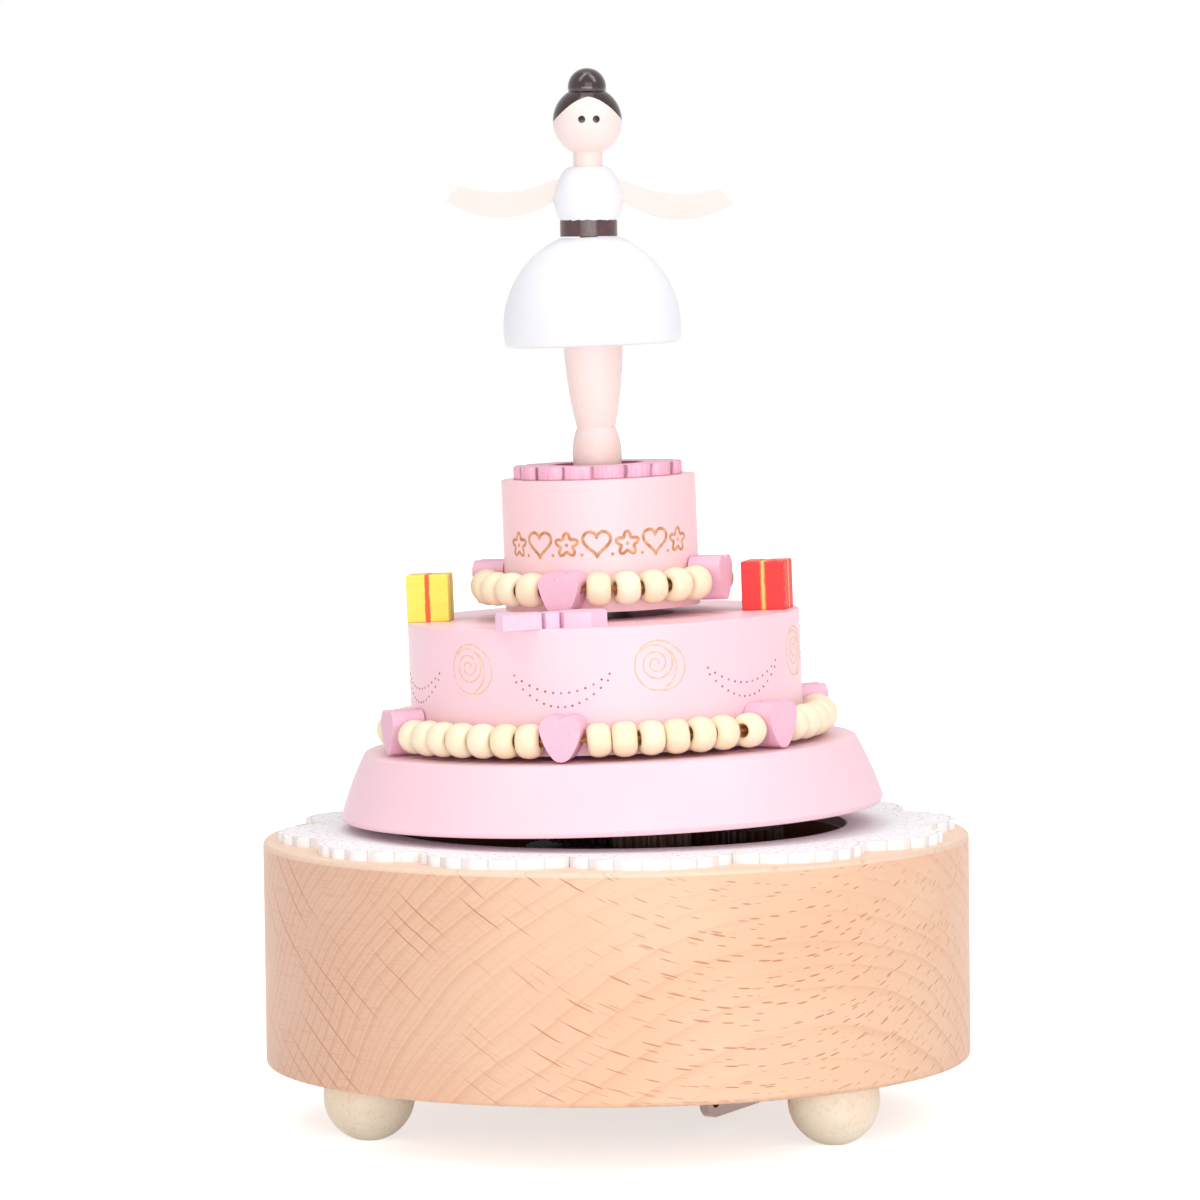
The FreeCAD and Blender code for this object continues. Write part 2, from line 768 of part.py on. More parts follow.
def make_bedplate():
    plate = block("bed_sheet", ("-bed_left", "-bed_front", FLOOR_TOP),
                  ("bed_left + bed_right", "bed_front + bed_back", "bed_thickness"))
    limit = cylinder("bed_limit", "bed_radius", "bed_thickness", z=FLOOR_TOP)
    trimmed = doc.addObject("Part::Common", "bed_trimmed")
    trimmed.Base = plate
    trimmed.Tool = limit
    post_height = f"({CYLINDER_Z} + post_width / 2 - {BED_TOP} + fit_gap)"
    low_z = f"({BED_TOP} - fit_gap)"
    posts = [block(f"cylinder_post_{index}", (left, f"({KEY_Y} - post_width / 2)", low_z),
                   ("cylinder_post", "post_width", post_height))
             for index, left in enumerate((RIGHT_POST_LEFT, LEFT_POST_LEFT))]
    comb_block = block("comb_block", (CYLINDER_LEFT, COMB_ROOT_Y, low_z),
                       ("cylinder_length", "comb_heel", f"({CYLINDER_Z} - comb_thickness / 2 - {low_z})"))
    casting = fuse("bed_casting", [trimmed, *posts, comb_block])
    holes = [cylinder("arbor_hole", "arbor_radius + running_gap", "bed_thickness", KEY_X, KEY_Y, FLOOR_TOP),
             cylinder("cylinder_bearings", "cylinder_arbor_radius + running_gap",
                      f"({PINION_LEFT} - {LEFT_POST_LEFT})", LEFT_POST_LEFT, KEY_Y, CYLINDER_Z, ALONG_X)]
    for index, (x, y) in enumerate(floor_screw_places()):
        holes.append(cylinder(f"bed_screw_hole_{index}", "floor_screw_radius + fit_gap", "bed_thickness",
                              x, y, FLOOR_TOP))
    small = "small_screw_radius + fit_gap"
    for index, (x, y) in enumerate(comb_screw_places()):
        holes.append(cylinder(f"comb_thread_{index}", small, "comb_heel", x, y,
                              f"({CYLINDER_Z} - comb_heel)"))
    for index, (x, y) in enumerate(ear_places() + bracket_screw_places()):
        holes.append(cylinder(f"bed_thread_{index}", small, "bed_thickness", x, y, FLOOR_TOP))
    keep(cut("bedplate", casting, holes), "movement_bedplate")


def comb_screw_places():
    """Where the comb's two screws go into its block."""
    middle_y = f"({COMB_ROOT_Y} + comb_heel / 2)"
    return [(f"({CYLINDER_LEFT} + cylinder_length / 4)", middle_y),
            (f"({CYLINDER_LEFT} + cylinder_length * 3 / 4)", middle_y)]


def ear_places():
    """Centres of the spring housing's two ears."""
    return [(f"({KEY_X} {sign} housing_ear_circle * cos(housing_ear_direction))",
             f"({KEY_Y} {sign} housing_ear_circle * sin(housing_ear_direction))") for sign in ("+", "-")]


def bracket_screw_places():
    """Where the governor bracket's two screws go."""
    x = f"({WHEEL_LEFT} + cylinder_wheel_width - small_screw_head_radius)"
    back_y = f"({WORM_Y} + small_screw_head_radius - bracket_sheet - thrust_gap)"
    return [(x, f"({WORM_Y} - 2 * small_screw_head_radius)"), (x, back_y)]


def make_housing():
    body = new_body("spring_housing")
    revolve(body, "housing_cup", [
        ("arbor_radius + running_gap", f"{HOUSING_TOP} - housing_wall"),
        ("housing_radius - housing_wall", f"{HOUSING_TOP} - housing_wall"),
        ("housing_radius - housing_wall", BED_TOP),
        ("housing_radius", BED_TOP),
        ("housing_radius", HOUSING_TOP),
        ("arbor_radius + running_gap", HOUSING_TOP),
    ])
    ears = new_sketch(body, "ear_outline", "XY_Plane", BED_TOP)
    reach = "housing_ear_circle"
    inner = "(housing_radius - housing_wall)"
    for side in ("1", "-1"):
        along = f"({side} * cos(housing_ear_direction))"
        over = f"({side} * sin(housing_ear_direction))"
        corners = []
        for out, wide in ((inner, "housing_ear_radius"), (inner, "(-housing_ear_radius)"),
                          (reach, "(-housing_ear_radius)"), (reach, "housing_ear_radius")):
            corners.append((f"{out} * {along} - {wide} * {over}", f"{out} * {over} + {wide} * {along}"))
        corners[2] = corners[2] + ("housing_ear_radius + fit_gap", "left")
        draw_outline(ears, corners)
    pad(body, "housing_ears", ears, "housing_ear_thickness")
    holes = new_sketch(body, "ear_hole_circles", "XY_Plane", BED_TOP)
    for side in ("1", "-1"):
        draw_circle(holes, f"{side} * {reach} * cos(housing_ear_direction)",
                    f"{side} * {reach} * sin(housing_ear_direction)", "small_screw_radius + fit_gap")
    pocket(body, "ear_holes", holes, "housing_ear_thickness", upward=True)
    keep(body, "spring_housing", at(KEY_X, KEY_Y, "0"))


def spiral_shape(start_radius, pitch, turns, thickness, height):
    """A flat band wound in half turns, each half turn a quarter pitch off the centre."""
    inner, outer = [], []
    radius = start_radius
    for half in range(2 * turns):
        side = 1 if half % 2 == 0 else -1
        centre = -side * pitch / 4
        for edges, reach in ((inner, radius), (outer, radius + thickness)):
            start = FreeCAD.Vector(centre + side * reach, 0, 0)
            middle = FreeCAD.Vector(centre, side * reach, 0)
            end = FreeCAD.Vector(centre - side * reach, 0, 0)
            edges.append(Part.Arc(start, middle, end).toShape())
        radius += pitch / 2
    first = Part.makeLine(inner[0].Vertexes[0].Point, outer[0].Vertexes[0].Point)
    last = Part.makeLine(inner[-1].Vertexes[-1].Point, outer[-1].Vertexes[-1].Point)
    band = Part.Face(Part.Wire(Part.__sortEdges__([first, *outer, last, *inner])))
    return band.extrude(UP * height)


def make_mainspring():
    band = number("spring_band")
    spiral = spiral_shape(number("arbor_radius + rest_gap + spring_pitch / 4"), number("spring_pitch"),
                          count("spring_turns"), band, number("spring_height"))
    feature("mainspring", spiral, at(KEY_X, KEY_Y, f"{BED_TOP} + rest_gap"))


def make_key():
    body = new_body("winding_key")
    low = "(drum_lift - key_hub_gap - key_hub_length)"
    revolve(body, "key_hub", [
        ("0", low),
        ("key_hub_radius", low),
        ("key_hub_radius", f"{low} + key_hub_length"),
        ("0", f"{low} + key_hub_length"),
    ])
    wing = new_sketch(body, "wing_outline", "XZ_Plane")
    top = "(key_wing_low + 2 * key_wing_round)"
    middle = "(key_wing_low + key_wing_round)"
    tip = "(key_wing_centre + key_wing_round)"
    draw_outline(wing, [
        ("-key_wing_centre", "key_wing_low"),
        ("key_wing_centre", "key_wing_low", "key_wing_round", "left"),
        (tip, middle, "key_wing_round", "left"),
        ("key_wing_centre", top),
        ("-key_wing_centre", top, "key_wing_round", "left"),
        (f"-{tip}", middle, "key_wing_round", "left"),
    ])
    pad(body, "key_wing", wing, "key_wing_thickness", midplane=True)
    holes = new_sketch(body, "wing_hole_circles", "XZ_Plane", "-key_wing_thickness")
    draw_circle(holes, "key_wing_centre", middle, "key_wing_hole")
    draw_circle(holes, "-key_wing_centre", middle, "key_wing_hole")
    pocket(body, "wing_holes", holes, "2 * key_wing_thickness", upward=True)
    bore = new_sketch(body, "key_bore_circle", "XY_Plane", middle)
    draw_circle(bore, "0", "0", "arbor_radius + fit_gap")
    pocket(body, "key_bore", bore, "drum_lift", upward=True)
    keep(body, "winding_key", at(KEY_X, KEY_Y, "0", number("key_turn")))


def make_arbor():
    bottom = "(key_wing_low + key_wing_round)"
    arbor = cylinder("arbor_rod", "arbor_radius", f"{CAKE_GEAR_TOP} + arbor_top_rise - {bottom}",
                     KEY_X, KEY_Y, bottom)
    keep(arbor, "winding_arbor")


def make_crown_wheel():
    body = new_body("crown_wheel")
    rim = "(crown_module * crown_teeth / 2 + crown_face / 2)"
    revolve(body, "crown_disc", [
        ("arbor_radius + fit_gap", CROWN_BOTTOM),
        (rim, CROWN_BOTTOM),
        (rim, f"{CROWN_BOTTOM} + crown_disc"),
        ("arbor_radius + fit_gap", f"{CROWN_BOTTOM} + crown_disc"),
    ])
    tooth = new_sketch(body, "crown_tooth_outline", "YZ_Plane", f"({rim} - crown_face)")
    wide = f"(crown_module * {math.pi} / 4 - backlash / 2)"
    taper = f"(crown_tooth_height * tan({PRESSURE_ANGLE}))"
    draw_outline(tooth, [
        (f"-{wide} - {taper} / 2", f"{CROWN_BOTTOM} + fit_gap"),
        (f"-{wide} + {taper} / 2", CROWN_TEETH_BOTTOM),
        (f"{wide} - {taper} / 2", CROWN_TEETH_BOTTOM),
        (f"{wide} + {taper} / 2", f"{CROWN_BOTTOM} + fit_gap"),
    ])
    one = pad(body, "crown_tooth", tooth, "crown_face")
    polar(body, "crown_tooth_ring", one, count("crown_teeth"))
    keep(body, "crown_wheel", at(KEY_X, KEY_Y, "0"))


def make_cylinder_set():
    """The pin cylinder, its arbor, pinion and wheel, all on one axis along X."""
    along = FreeCAD.Rotation(UP, ALONG_X)
    arbor_radius = number("cylinder_arbor_radius")
    left = number(f"{LEFT_POST_LEFT} - post_gap")
    right = number(f"{PINION_LEFT} + crown_face")
    arbor = Part.makeCylinder(arbor_radius, right - left)
    feature("cylinder_arbor", arbor, FreeCAD.Placement(place(str(left), KEY_Y, CYLINDER_Z), along))
    bore = arbor_radius + number("fit_gap")
    drum = Part.makeCylinder(number("cylinder_radius"), number("cylinder_length"))
    drum = drum.cut(Part.makeCylinder(bore, number("cylinder_length")))
    pins = []
    tracks = count("comb_teeth")
    pin_root = number("cylinder_radius - pin_height")
    for track in range(tracks):
        height = number("cylinder_length") * (track + 0.5) / tracks
        for note in range(count("notes_per_track")):
            angle = number("pin_turn") * (track + tracks * note) + number("note_turn") * note
            outward = FreeCAD.Rotation(UP, angle).multVec(ALONG_X)
            pins.append(Part.makeCylinder(number("pin_radius"), number("2 * pin_height"),
                                          outward * pin_root + UP * height, outward))
    drum = drum.multiFuse(pins)
    feature("pin_cylinder", drum, FreeCAD.Placement(place(CYLINDER_LEFT, KEY_Y, CYLINDER_Z), along))
    teeth = count("cylinder_pinion_teeth")
    pinion = gear_shape(number("crown_module"), teeth, number("crown_face"), bore, HALF_TURN / teeth)
    feature("cylinder_pinion", pinion, FreeCAD.Placement(place(PINION_LEFT, KEY_Y, CYLINDER_Z), along))
    wheel = gear_shape(number("governor_module"), count("cylinder_wheel_teeth"),
                       number("cylinder_wheel_width"), bore, QUARTER_TURN)
    feature("cylinder_wheel", wheel, FreeCAD.Placement(place(WHEEL_LEFT, KEY_Y, CYLINDER_Z), along))


def make_comb():
    body = new_body("comb")
    low_z = f"({CYLINDER_Z} - comb_thickness / 2)"
    plan = new_sketch(body, "comb_outline", "XY_Plane", low_z)
    back = f"({COMB_ROOT_Y} + comb_heel)"
    draw_outline(plan, [(CYLINDER_LEFT, COMB_TIP_Y), (CYLINDER_RIGHT, COMB_TIP_Y),
                        (CYLINDER_RIGHT, back), (CYLINDER_LEFT, back)])
    pad(body, "comb_plate", plan, "comb_thickness")
    holes = new_sketch(body, "comb_hole_circles", "XY_Plane", low_z)
    for x, y in comb_screw_places():
        draw_circle(holes, x, y, "small_screw_radius + fit_gap")
    pocket(body, "comb_holes", holes, "comb_thickness", upward=True)
    slot = new_sketch(body, "comb_slot_outline", "XY_Plane", low_z)
    pitch = "(cylinder_length / comb_teeth)"
    slot_left = f"({CYLINDER_LEFT} + {pitch} - comb_slot / 2)"
    slot_right = f"({slot_left} + comb_slot)"
    slot_front = f"({COMB_TIP_Y} - comb_slot)"
    draw_outline(slot, [(slot_left, slot_front), (slot_right, slot_front),
                        (slot_right, COMB_ROOT_Y), (slot_left, COMB_ROOT_Y)])
    first = pocket(body, "comb_slot", slot, "comb_thickness", upward=True)
    rows = body.newObject("PartDesign::LinearPattern", "comb_slots")
    rows.Originals = [first]
    x_axis = [part for part in body.Origin.OriginFeatures if part.Role == "X_Axis"][0]
    rows.Direction = (x_axis, [""])
    rows.setExpression("Length", formula("cylinder_length - 2 * cylinder_length / comb_teeth"))
    rows.Occurrences = count("comb_teeth") - 1
    body.Tip = rows
    doc.recompute()
    keep(body, "comb")


def make_small_screws():
    """Screws of the movement, each group one node of separate screws."""
    small = screw_shape(number("small_screw_head_radius"), number("small_screw_head"),
                        number("small_screw_radius"), number("small_screw_grip + comb_thickness"))
    comb_top = f"({CYLINDER_Z} + comb_thickness / 2)"
    feature("comb_screws", copies(small, [at(x, y, comb_top) for x, y in comb_screw_places()]))
    ear_top = f"({BED_TOP} + housing_ear_thickness)"
    feature("housing_screws", copies(small, [at(x, y, ear_top) for x, y in ear_places()]))
    sheet_top = f"({BED_TOP} + bracket_sheet)"
    feature("bracket_screws", copies(small, [at(x, y, sheet_top) for x, y in bracket_screw_places()]))
    floor_grip = number("drum_floor - floor_screw_head + bed_thickness")
    floor_screw = screw_shape(number("floor_screw_head_radius"), number("floor_screw_head"),
                              number("floor_screw_radius"), floor_grip)
    upwards = [at(x, y, "drum_lift + floor_screw_head", HALF_TURN, ALONG_X) for x, y in floor_screw_places()]
    feature("movement_screws", copies(floor_screw, upwards))


def make_governor_bracket():
    """A bent bracket with the bearings of the governor wheel and of the worm."""
    sheet_top = f"({BED_TOP} + bracket_sheet)"
    left = f"({WORM_WHEEL_LEFT} - post_gap - bracket_sheet)"
    right = f"({WHEEL_LEFT} + cylinder_wheel_width)"
    back = f"({WORM_Y} + 2 * small_screw_head_radius)"
    front = f"({GOVERNOR_Y} - bearing_reach)"
    width = f"({right} - {left})"
    foot = block("bracket_foot", (left, front, BED_TOP), (width, f"{back} - {front}", "bracket_sheet"))
    bearing_top = f"({CYLINDER_Z} + bearing_reach)"
    ear_span = ("bracket_sheet", "2 * bearing_reach", f"({bearing_top} - {BED_TOP})")
    outer_ear = block("bracket_outer_ear", (left, front, BED_TOP), ear_span)
    inner_left = f"({LEFT_POST_LEFT} + post_gap / 2)"
    inner_ear = block("bracket_inner_ear", (inner_left, front, BED_TOP), ear_span)
    worm_top = f"({CYLINDER_Z} + worm_length / 2 + thrust_gap)"
    tower_width = f"({LEFT_POST_LEFT} + post_gap - {left})"
    tower = block("bracket_tower", (left, f"({back} - bracket_sheet)", BED_TOP),
                  (tower_width, "bracket_sheet", f"({worm_top} + bracket_sheet - {BED_TOP})"))
    arm = block("bracket_arm", (left, f"({WORM_Y} - bearing_reach)", worm_top),
                (tower_width, f"({back} - {WORM_Y} + bearing_reach)", "bracket_sheet"))
    solid = fuse("bracket_solid", [foot, outer_ear, inner_ear, tower, arm])
    holes = [cylinder("governor_bearings", "governor_arbor_radius + running_gap", f"({right} - {left})",
                      left, GOVERNOR_Y, CYLINDER_Z, ALONG_X),
             cylinder("worm_bearings", "worm_shaft_radius + running_gap",
                      f"({worm_top} + bracket_sheet - {BED_TOP})", WORM_X, WORM_Y, BED_TOP)]
    for index, (x, y) in enumerate(bracket_screw_places()):
        holes.append(cylinder(f"bracket_screw_hole_{index}", "small_screw_radius + fit_gap", "bracket_sheet",
                              x, y, BED_TOP))
    keep(cut("bracket", solid, holes), "governor_bracket")


def make_governor_wheel():
    """Arbor with the pinion that the cylinder wheel drives and the wheel that drives the worm."""
    along = FreeCAD.Rotation(UP, ALONG_X)
    left = number(f"{WORM_WHEEL_LEFT} - post_gap - bracket_sheet")
    right = number(f"{WHEEL_LEFT} + cylinder_wheel_width + thrust_gap")
    radius = number("governor_arbor_radius")
    arbor = Part.makeCylinder(radius, right - left)
    teeth = count("governor_pinion_teeth")
    tooth = mate_tooth(count("cylinder_wheel_teeth"), QUARTER_TURN, QUARTER_TURN, teeth)
    pinion = gear_shape(number("governor_module"), teeth, number("cylinder_wheel_width"), radius, tooth)
    pinion.translate(UP * (number(WHEEL_LEFT) - left))
    wheel = gear_shape(number("worm_module"), count("worm_wheel_teeth"), number("worm_wheel_width"),
                       radius, QUARTER_TURN)
    wheel.translate(UP * (number(WORM_WHEEL_LEFT) - left))
    where = FreeCAD.Placement(place(str(left), GOVERNOR_Y, CYLINDER_Z), along)
    feature("governor_wheel", arbor.multiFuse([pinion, wheel]), where)


def worm_thread(module, lead, length):
    """One helical ridge of the worm round Z, whose middle starts on +X at z = 0."""
    pitch_radius = number("worm_pitch_radius")
    root = pitch_radius - ROOT_DEPTH * module
    tip = pitch_radius + WORM_CREST * module
    slope = math.tan(math.radians(PRESSURE_ANGLE))
    half = (math.pi * module / 2 - number("worm_backlash")) / 2
    foot = half + (pitch_radius - root) * slope
    crest = half - (tip - pitch_radius) * slope
    corners = [FreeCAD.Vector(root - number("fit_gap"), 0, -foot), FreeCAD.Vector(tip, 0, -crest),
               FreeCAD.Vector(tip, 0, crest), FreeCAD.Vector(root - number("fit_gap"), 0, foot)]
    section = Part.makePolygon(corners + corners[:1])
    helix = Part.makeHelix(lead, length, root)
    return Part.Wire(helix).makePipeShell([section], True, True)


def make_worm():
    """Worm, shaft and air fly; a gap of the thread faces the wheel's tooth on the worm's -Y side."""
    starts = count("worm_starts")
    module = number("worm_module")
    length = number("worm_length")
    lead = math.pi * module * starts
    gap_height = length / 2 + lead / starts / 2 - module
    first = HALF_TURN + QUARTER_TURN - FULL_TURN * gap_height / lead
    solid = Part.makeCylinder(number("worm_pitch_radius") - ROOT_DEPTH * module, length)
    for start in range(starts):
        ridge = worm_thread(module, lead, length - 2 * module)
        ridge.rotate(HERE, UP, first + FULL_TURN * start / starts)
        ridge.translate(UP * module)
        solid = solid.fuse(ridge)
    low = number(f"{CYLINDER_Z} - worm_length / 2")
    bed_top = number(BED_TOP)
    above = number("bracket_sheet + thrust_gap + rest_gap + fly_height")
    shaft = Part.makeCylinder(number("worm_shaft_radius"), low - bed_top + length + above,
                              UP * (bed_top - low))
    fly_low = length + number("bracket_sheet + thrust_gap + rest_gap")
    half = number("fly_half_width")
    thick = number("fly_thickness")
    fly = Part.makeBox(2 * half, thick, number("fly_height"), FreeCAD.Vector(-half, -thick / 2, fly_low))
    solid = solid.multiFuse([shaft, fly])
    feature("worm_and_fly", solid, at(WORM_X, WORM_Y, str(low)))


# Gear deck, bush and the gears under the cake


def make_deck():
    body = new_body("gear_deck")
    plate = new_sketch(body, "deck_outline", "XY_Plane", DECK_BOTTOM)
    half = f"sqrt({DECK_RADIUS} * {DECK_RADIUS} - deck_back * deck_back)"
    draw_outline(plate, [
        (f"-{half}", "deck_back", DECK_RADIUS, "left"),
        (f"-{DECK_RADIUS}", "0", DECK_RADIUS, "left"),
        ("0", f"-{DECK_RADIUS}", DECK_RADIUS, "left"),
        (DECK_RADIUS, "0", DECK_RADIUS, "left"),
        (half, "deck_back"),
    ])
    pad(body, "deck_plate", plate, "deck_thickness")
    holes = new_sketch(body, "deck_hole_circles", "XY_Plane", DECK_BOTTOM)
    draw_circle(holes, KEY_X, KEY_Y, "arbor_radius + running_gap")
    draw_circle(holes, BUSH_X, "0", "bush_radius + fit_gap")
    draw_circle(holes, IDLER_X, IDLER_Y, "idler_pin_radius + fit_gap")
    pocket(body, "deck_holes", holes, "deck_thickness", upward=True)
    screw = new_sketch(body, "deck_screw_circle", "XY_Plane", DECK_BOTTOM)
    draw_circle(screw, f"{PILLAR_CIRCLE} * cos(pillar_direction)", f"{PILLAR_CIRCLE} * sin(pillar_direction)",
                "small_screw_radius + fit_gap")
    screw_hole = pocket(body, "deck_screw_hole", screw, "deck_thickness", upward=True)
    polar(body, "deck_screw_holes", screw_hole, count("pillar_count"))
    keep(body, "gear_deck")


def pillar_places(z):
    """Placements of the three pillars."""
    directions = even_directions(number("pillar_direction"), count("pillar_count"))
    return around(number(PILLAR_CIRCLE), number(z), directions)


def make_pillars():
    radius = number("pillar_radius")
    height = number(f"{DECK_BOTTOM} - {FLOOR_TOP}")
    thread = number("small_screw_grip + comb_thickness - deck_thickness")
    pillar = Part.makeCylinder(radius, height)
    pillar = pillar.fuse(Part.makeCylinder(radius / 2, number("pillar_stud"), HERE, -UP)).removeSplitter()
    hole = Part.makeCylinder(number("small_screw_radius + fit_gap"), thread + number("rest_gap"),
                             UP * height, -UP)
    feature("deck_pillars", copies(pillar.cut(hole), pillar_places(FLOOR_TOP)))
    small = screw_shape(number("small_screw_head_radius"), number("small_screw_head"),
                        number("small_screw_radius"), number("small_screw_grip + comb_thickness"))
    feature("deck_screws", copies(small, pillar_places(DECK_TOP)))


def make_bush():
    bottom = f"({DECK_TOP} - bush_depth)"
    barrel = cylinder("bush_barrel", "bush_radius", "bush_depth", BUSH_X, "0", bottom)
    flange = cylinder("bush_flange_disc", "bush_flange_radius", "bush_flange", BUSH_X, "0", DECK_TOP)
    solid = fuse("bush_solid", [barrel, flange])
    bore = rod("bush_bore", "rod_radius + running_gap", "bush_depth + bush_flange + bush_end")
    bore.Placement = leaning.multiply(at("0", "0", f"{DECK_TOP} - bush_depth + bush_end"))
    keep(cut("bush", solid, [bore]), "spindle_bush")


def make_idler():
    boss = "idler_boss_radius"
    pin = cylinder("idler_pin_rod", "idler_pin_radius", f"{CAKE_GEAR_TOP} - {DECK_BOTTOM} + arbor_top_rise",
                   IDLER_X, IDLER_Y, DECK_BOTTOM)
    collar = cylinder("idler_pin_collar", boss, f"{CAKE_GEAR_BOTTOM} - thrust_gap - {TIER_GEAR_TOP}",
                      IDLER_X, IDLER_Y, TIER_GEAR_TOP)
    keep(fuse("idler_pin", [pin, collar]), "idler_pin")
    idler = gear_shape(number("gear_module"), count("idler_teeth"), number("cake_gear_width"),
                       number("idler_pin_radius + running_gap"), IDLER_TOOTH)
    feature("idler_gear", idler, at(IDLER_X, IDLER_Y, CAKE_GEAR_BOTTOM))


def make_key_pinions():
    bore = number("arbor_radius + fit_gap")
    for driven, tooth, z, width in (("cake", KEY_TO_IDLER, CAKE_GEAR_BOTTOM, "cake_gear_width"),
                                    ("tier", KEY_TO_SPINDLE, TIER_GEAR_BOTTOM, "gear_width"),
                                    ("dancer", KEY_TO_SPINDLE, DANCER_GEAR_BOTTOM, "gear_width")):
        teeth = count(f"{driven}_pinion_teeth")
        pinion = gear_shape(number("gear_module"), teeth, number(width), bore, tooth)
        feature(f"{driven}_drive_pinion", pinion, at(KEY_X, KEY_Y, z))


def make_spindle_gears():
    for driven, driver, driver_tooth, towards, shaft, z, width in (
            ("cake", "idler_teeth", IDLER_TOOTH, IDLER_TO_SPINDLE, "hub_radius", CAKE_GEAR_BOTTOM,
             "cake_gear_width"),
            ("tier", "tier_pinion_teeth", KEY_TO_SPINDLE, KEY_TO_SPINDLE, "tube_radius", TIER_GEAR_BOTTOM,
             "gear_width"),
            ("dancer", "dancer_pinion_teeth", KEY_TO_SPINDLE, KEY_TO_SPINDLE, "rod_radius",
             DANCER_GEAR_BOTTOM, "gear_width")):
        teeth = count(f"{driven}_gear_teeth")
        tooth = mate_tooth(count(driver), driver_tooth, towards, teeth)
        gear = gear_shape(number("gear_module"), teeth, number(width), number(f"{shaft} + fit_gap"), tooth)
        gear.translate(place("0", "0", z))
        leaning_piece(f"{driven}_gear", gear)


# Cake and upper tier


def make_hub():
    body = new_body("cake_hub")
    bottom = f"({TIER_GEAR_TOP} + thrust_gap)"
    bore = "(tube_radius + running_gap)"
    revolve(body, "hub_tube", [
        (bore, bottom),
        ("hub_radius", bottom),
        ("hub_radius", RECESS_FLOOR),
        (bore, RECESS_FLOOR),
    ])
    keep(body, "cake_hub", leaning)


def make_board():
    body = new_body("cake_board")
    revolve(body, "board_wood", [
        ("board_core_radius", BOARD_BOTTOM),
        ("board_bottom_radius - board_edge", BOARD_BOTTOM, "board_edge", "left"),
        ("board_bottom_radius", f"{BOARD_BOTTOM} + board_edge", "board_flare", "left"),
        ("board_top_radius", f"{BOARD_TOP} - board_edge / 2", "board_edge", "left"),
        ("board_top_radius - board_edge / 2", BOARD_TOP),
        ("board_core_radius", BOARD_TOP),
    ])
    plug = new_sketch(body, "board_core_outline", "XY_Plane", BOARD_BOTTOM)
    draw_circle(plug, "0", "0", "board_core_radius + fit_gap")
    pad(body, "board_core", plug, "board_height")
    hole = new_sketch(body, "board_hole_circle", "XY_Plane", BOARD_BOTTOM)
    draw_circle(hole, "-board_shift", "0", "hub_radius + fit_gap")
    pocket(body, "board_hole", hole, "board_height", upward=True)
    keep(body, "cake_board", leaning.multiply(at("board_shift", "0", "0")))


def make_spacer_and_middle_tier():
    body = new_body("spacer")
    bore = "(hub_radius + fit_gap)"
    revolve(body, "spacer_disc", [
        (bore, BOARD_TOP),
        ("spacer_radius", BOARD_TOP),
        ("spacer_radius", MIDDLE_BOTTOM),
        (bore, MIDDLE_BOTTOM),
    ])
    keep(body, "tier_spacer", leaning)
    body = new_body("middle_tier")
    revolve(body, "middle_wood", [
        (bore, MIDDLE_BOTTOM),
        ("middle_radius", MIDDLE_BOTTOM),
        ("middle_radius", f"{MIDDLE_TOP} - middle_edge", "middle_edge", "left"),
        ("middle_radius - middle_edge", MIDDLE_TOP),
        ("recess_radius", MIDDLE_TOP),
        ("recess_radius", RECESS_FLOOR),
        (bore, RECESS_FLOOR),
    ])
    keep(body, "middle_tier", leaning)


def make_upper_tier():
    body = new_body("upper_tier")
    socket = "(tube_radius + fit_gap)"
    socket_top = f"({UPPER_BOTTOM} + tube_reach + fit_gap)"
    clear = "(rod_radius + rest_gap)"
    revolve(body, "upper_wood", [
        (socket, UPPER_BOTTOM),
        ("upper_radius", UPPER_BOTTOM),
        ("upper_radius", f"{UPPER_TOP} - upper_edge", "upper_edge", "left"),
        ("upper_radius - upper_edge", UPPER_TOP),
        (clear, UPPER_TOP),
        (clear, socket_top),
        (socket, socket_top),
    ])
    keep(body, "upper_tier", leaning)
    body = new_body("tier_tube")
    bore = "(rod_radius + running_gap)"
    collar_low = f"({RECESS_FLOOR} + thrust_gap)"
    revolve(body, "tube_with_collar", [
        (bore, f"{DANCER_GEAR_TOP} + thrust_gap"),
        ("tube_radius", f"{DANCER_GEAR_TOP} + thrust_gap"),
        ("tube_radius", collar_low),
        ("collar_radius", collar_low),
        ("collar_radius", UPPER_BOTTOM),
        ("tube_radius", UPPER_BOTTOM),
        ("tube_radius", f"{UPPER_BOTTOM} + tube_reach"),
        (bore, f"{UPPER_BOTTOM} + tube_reach"),
    ])
    keep(body, "tier_tube", leaning)


def make_flower_ring():
    petals = count("ring_petals")
    notch = number("ring_radius - petal_rise")
    points = []
    for index in range(petals):
        angle = math.radians(number("petal_direction")) + 2 * math.pi * index / petals
        points.append(FreeCAD.Vector(notch * math.cos(angle), notch * math.sin(angle), 0))
    half_chord = notch * math.sin(math.pi / petals)
    rise = number("ring_radius") - math.sqrt(notch ** 2 - half_chord ** 2)
    petal_edges = [scallop(start, end, rise, HERE) for start, end in zip(points, points[1:] + points[:1])]
    outline = Part.Face(Part.Wire(petal_edges))
    ring = outline.extrude(UP * number("ring_thickness"))
    ring = ring.cut(Part.makeCylinder(number("ring_hole_radius"), number("ring_thickness")))
    ring.translate(place("0", "0", UPPER_TOP))
    leaning_piece("flower_ring", ring)


# Beads, hearts, strings, gifts and bow


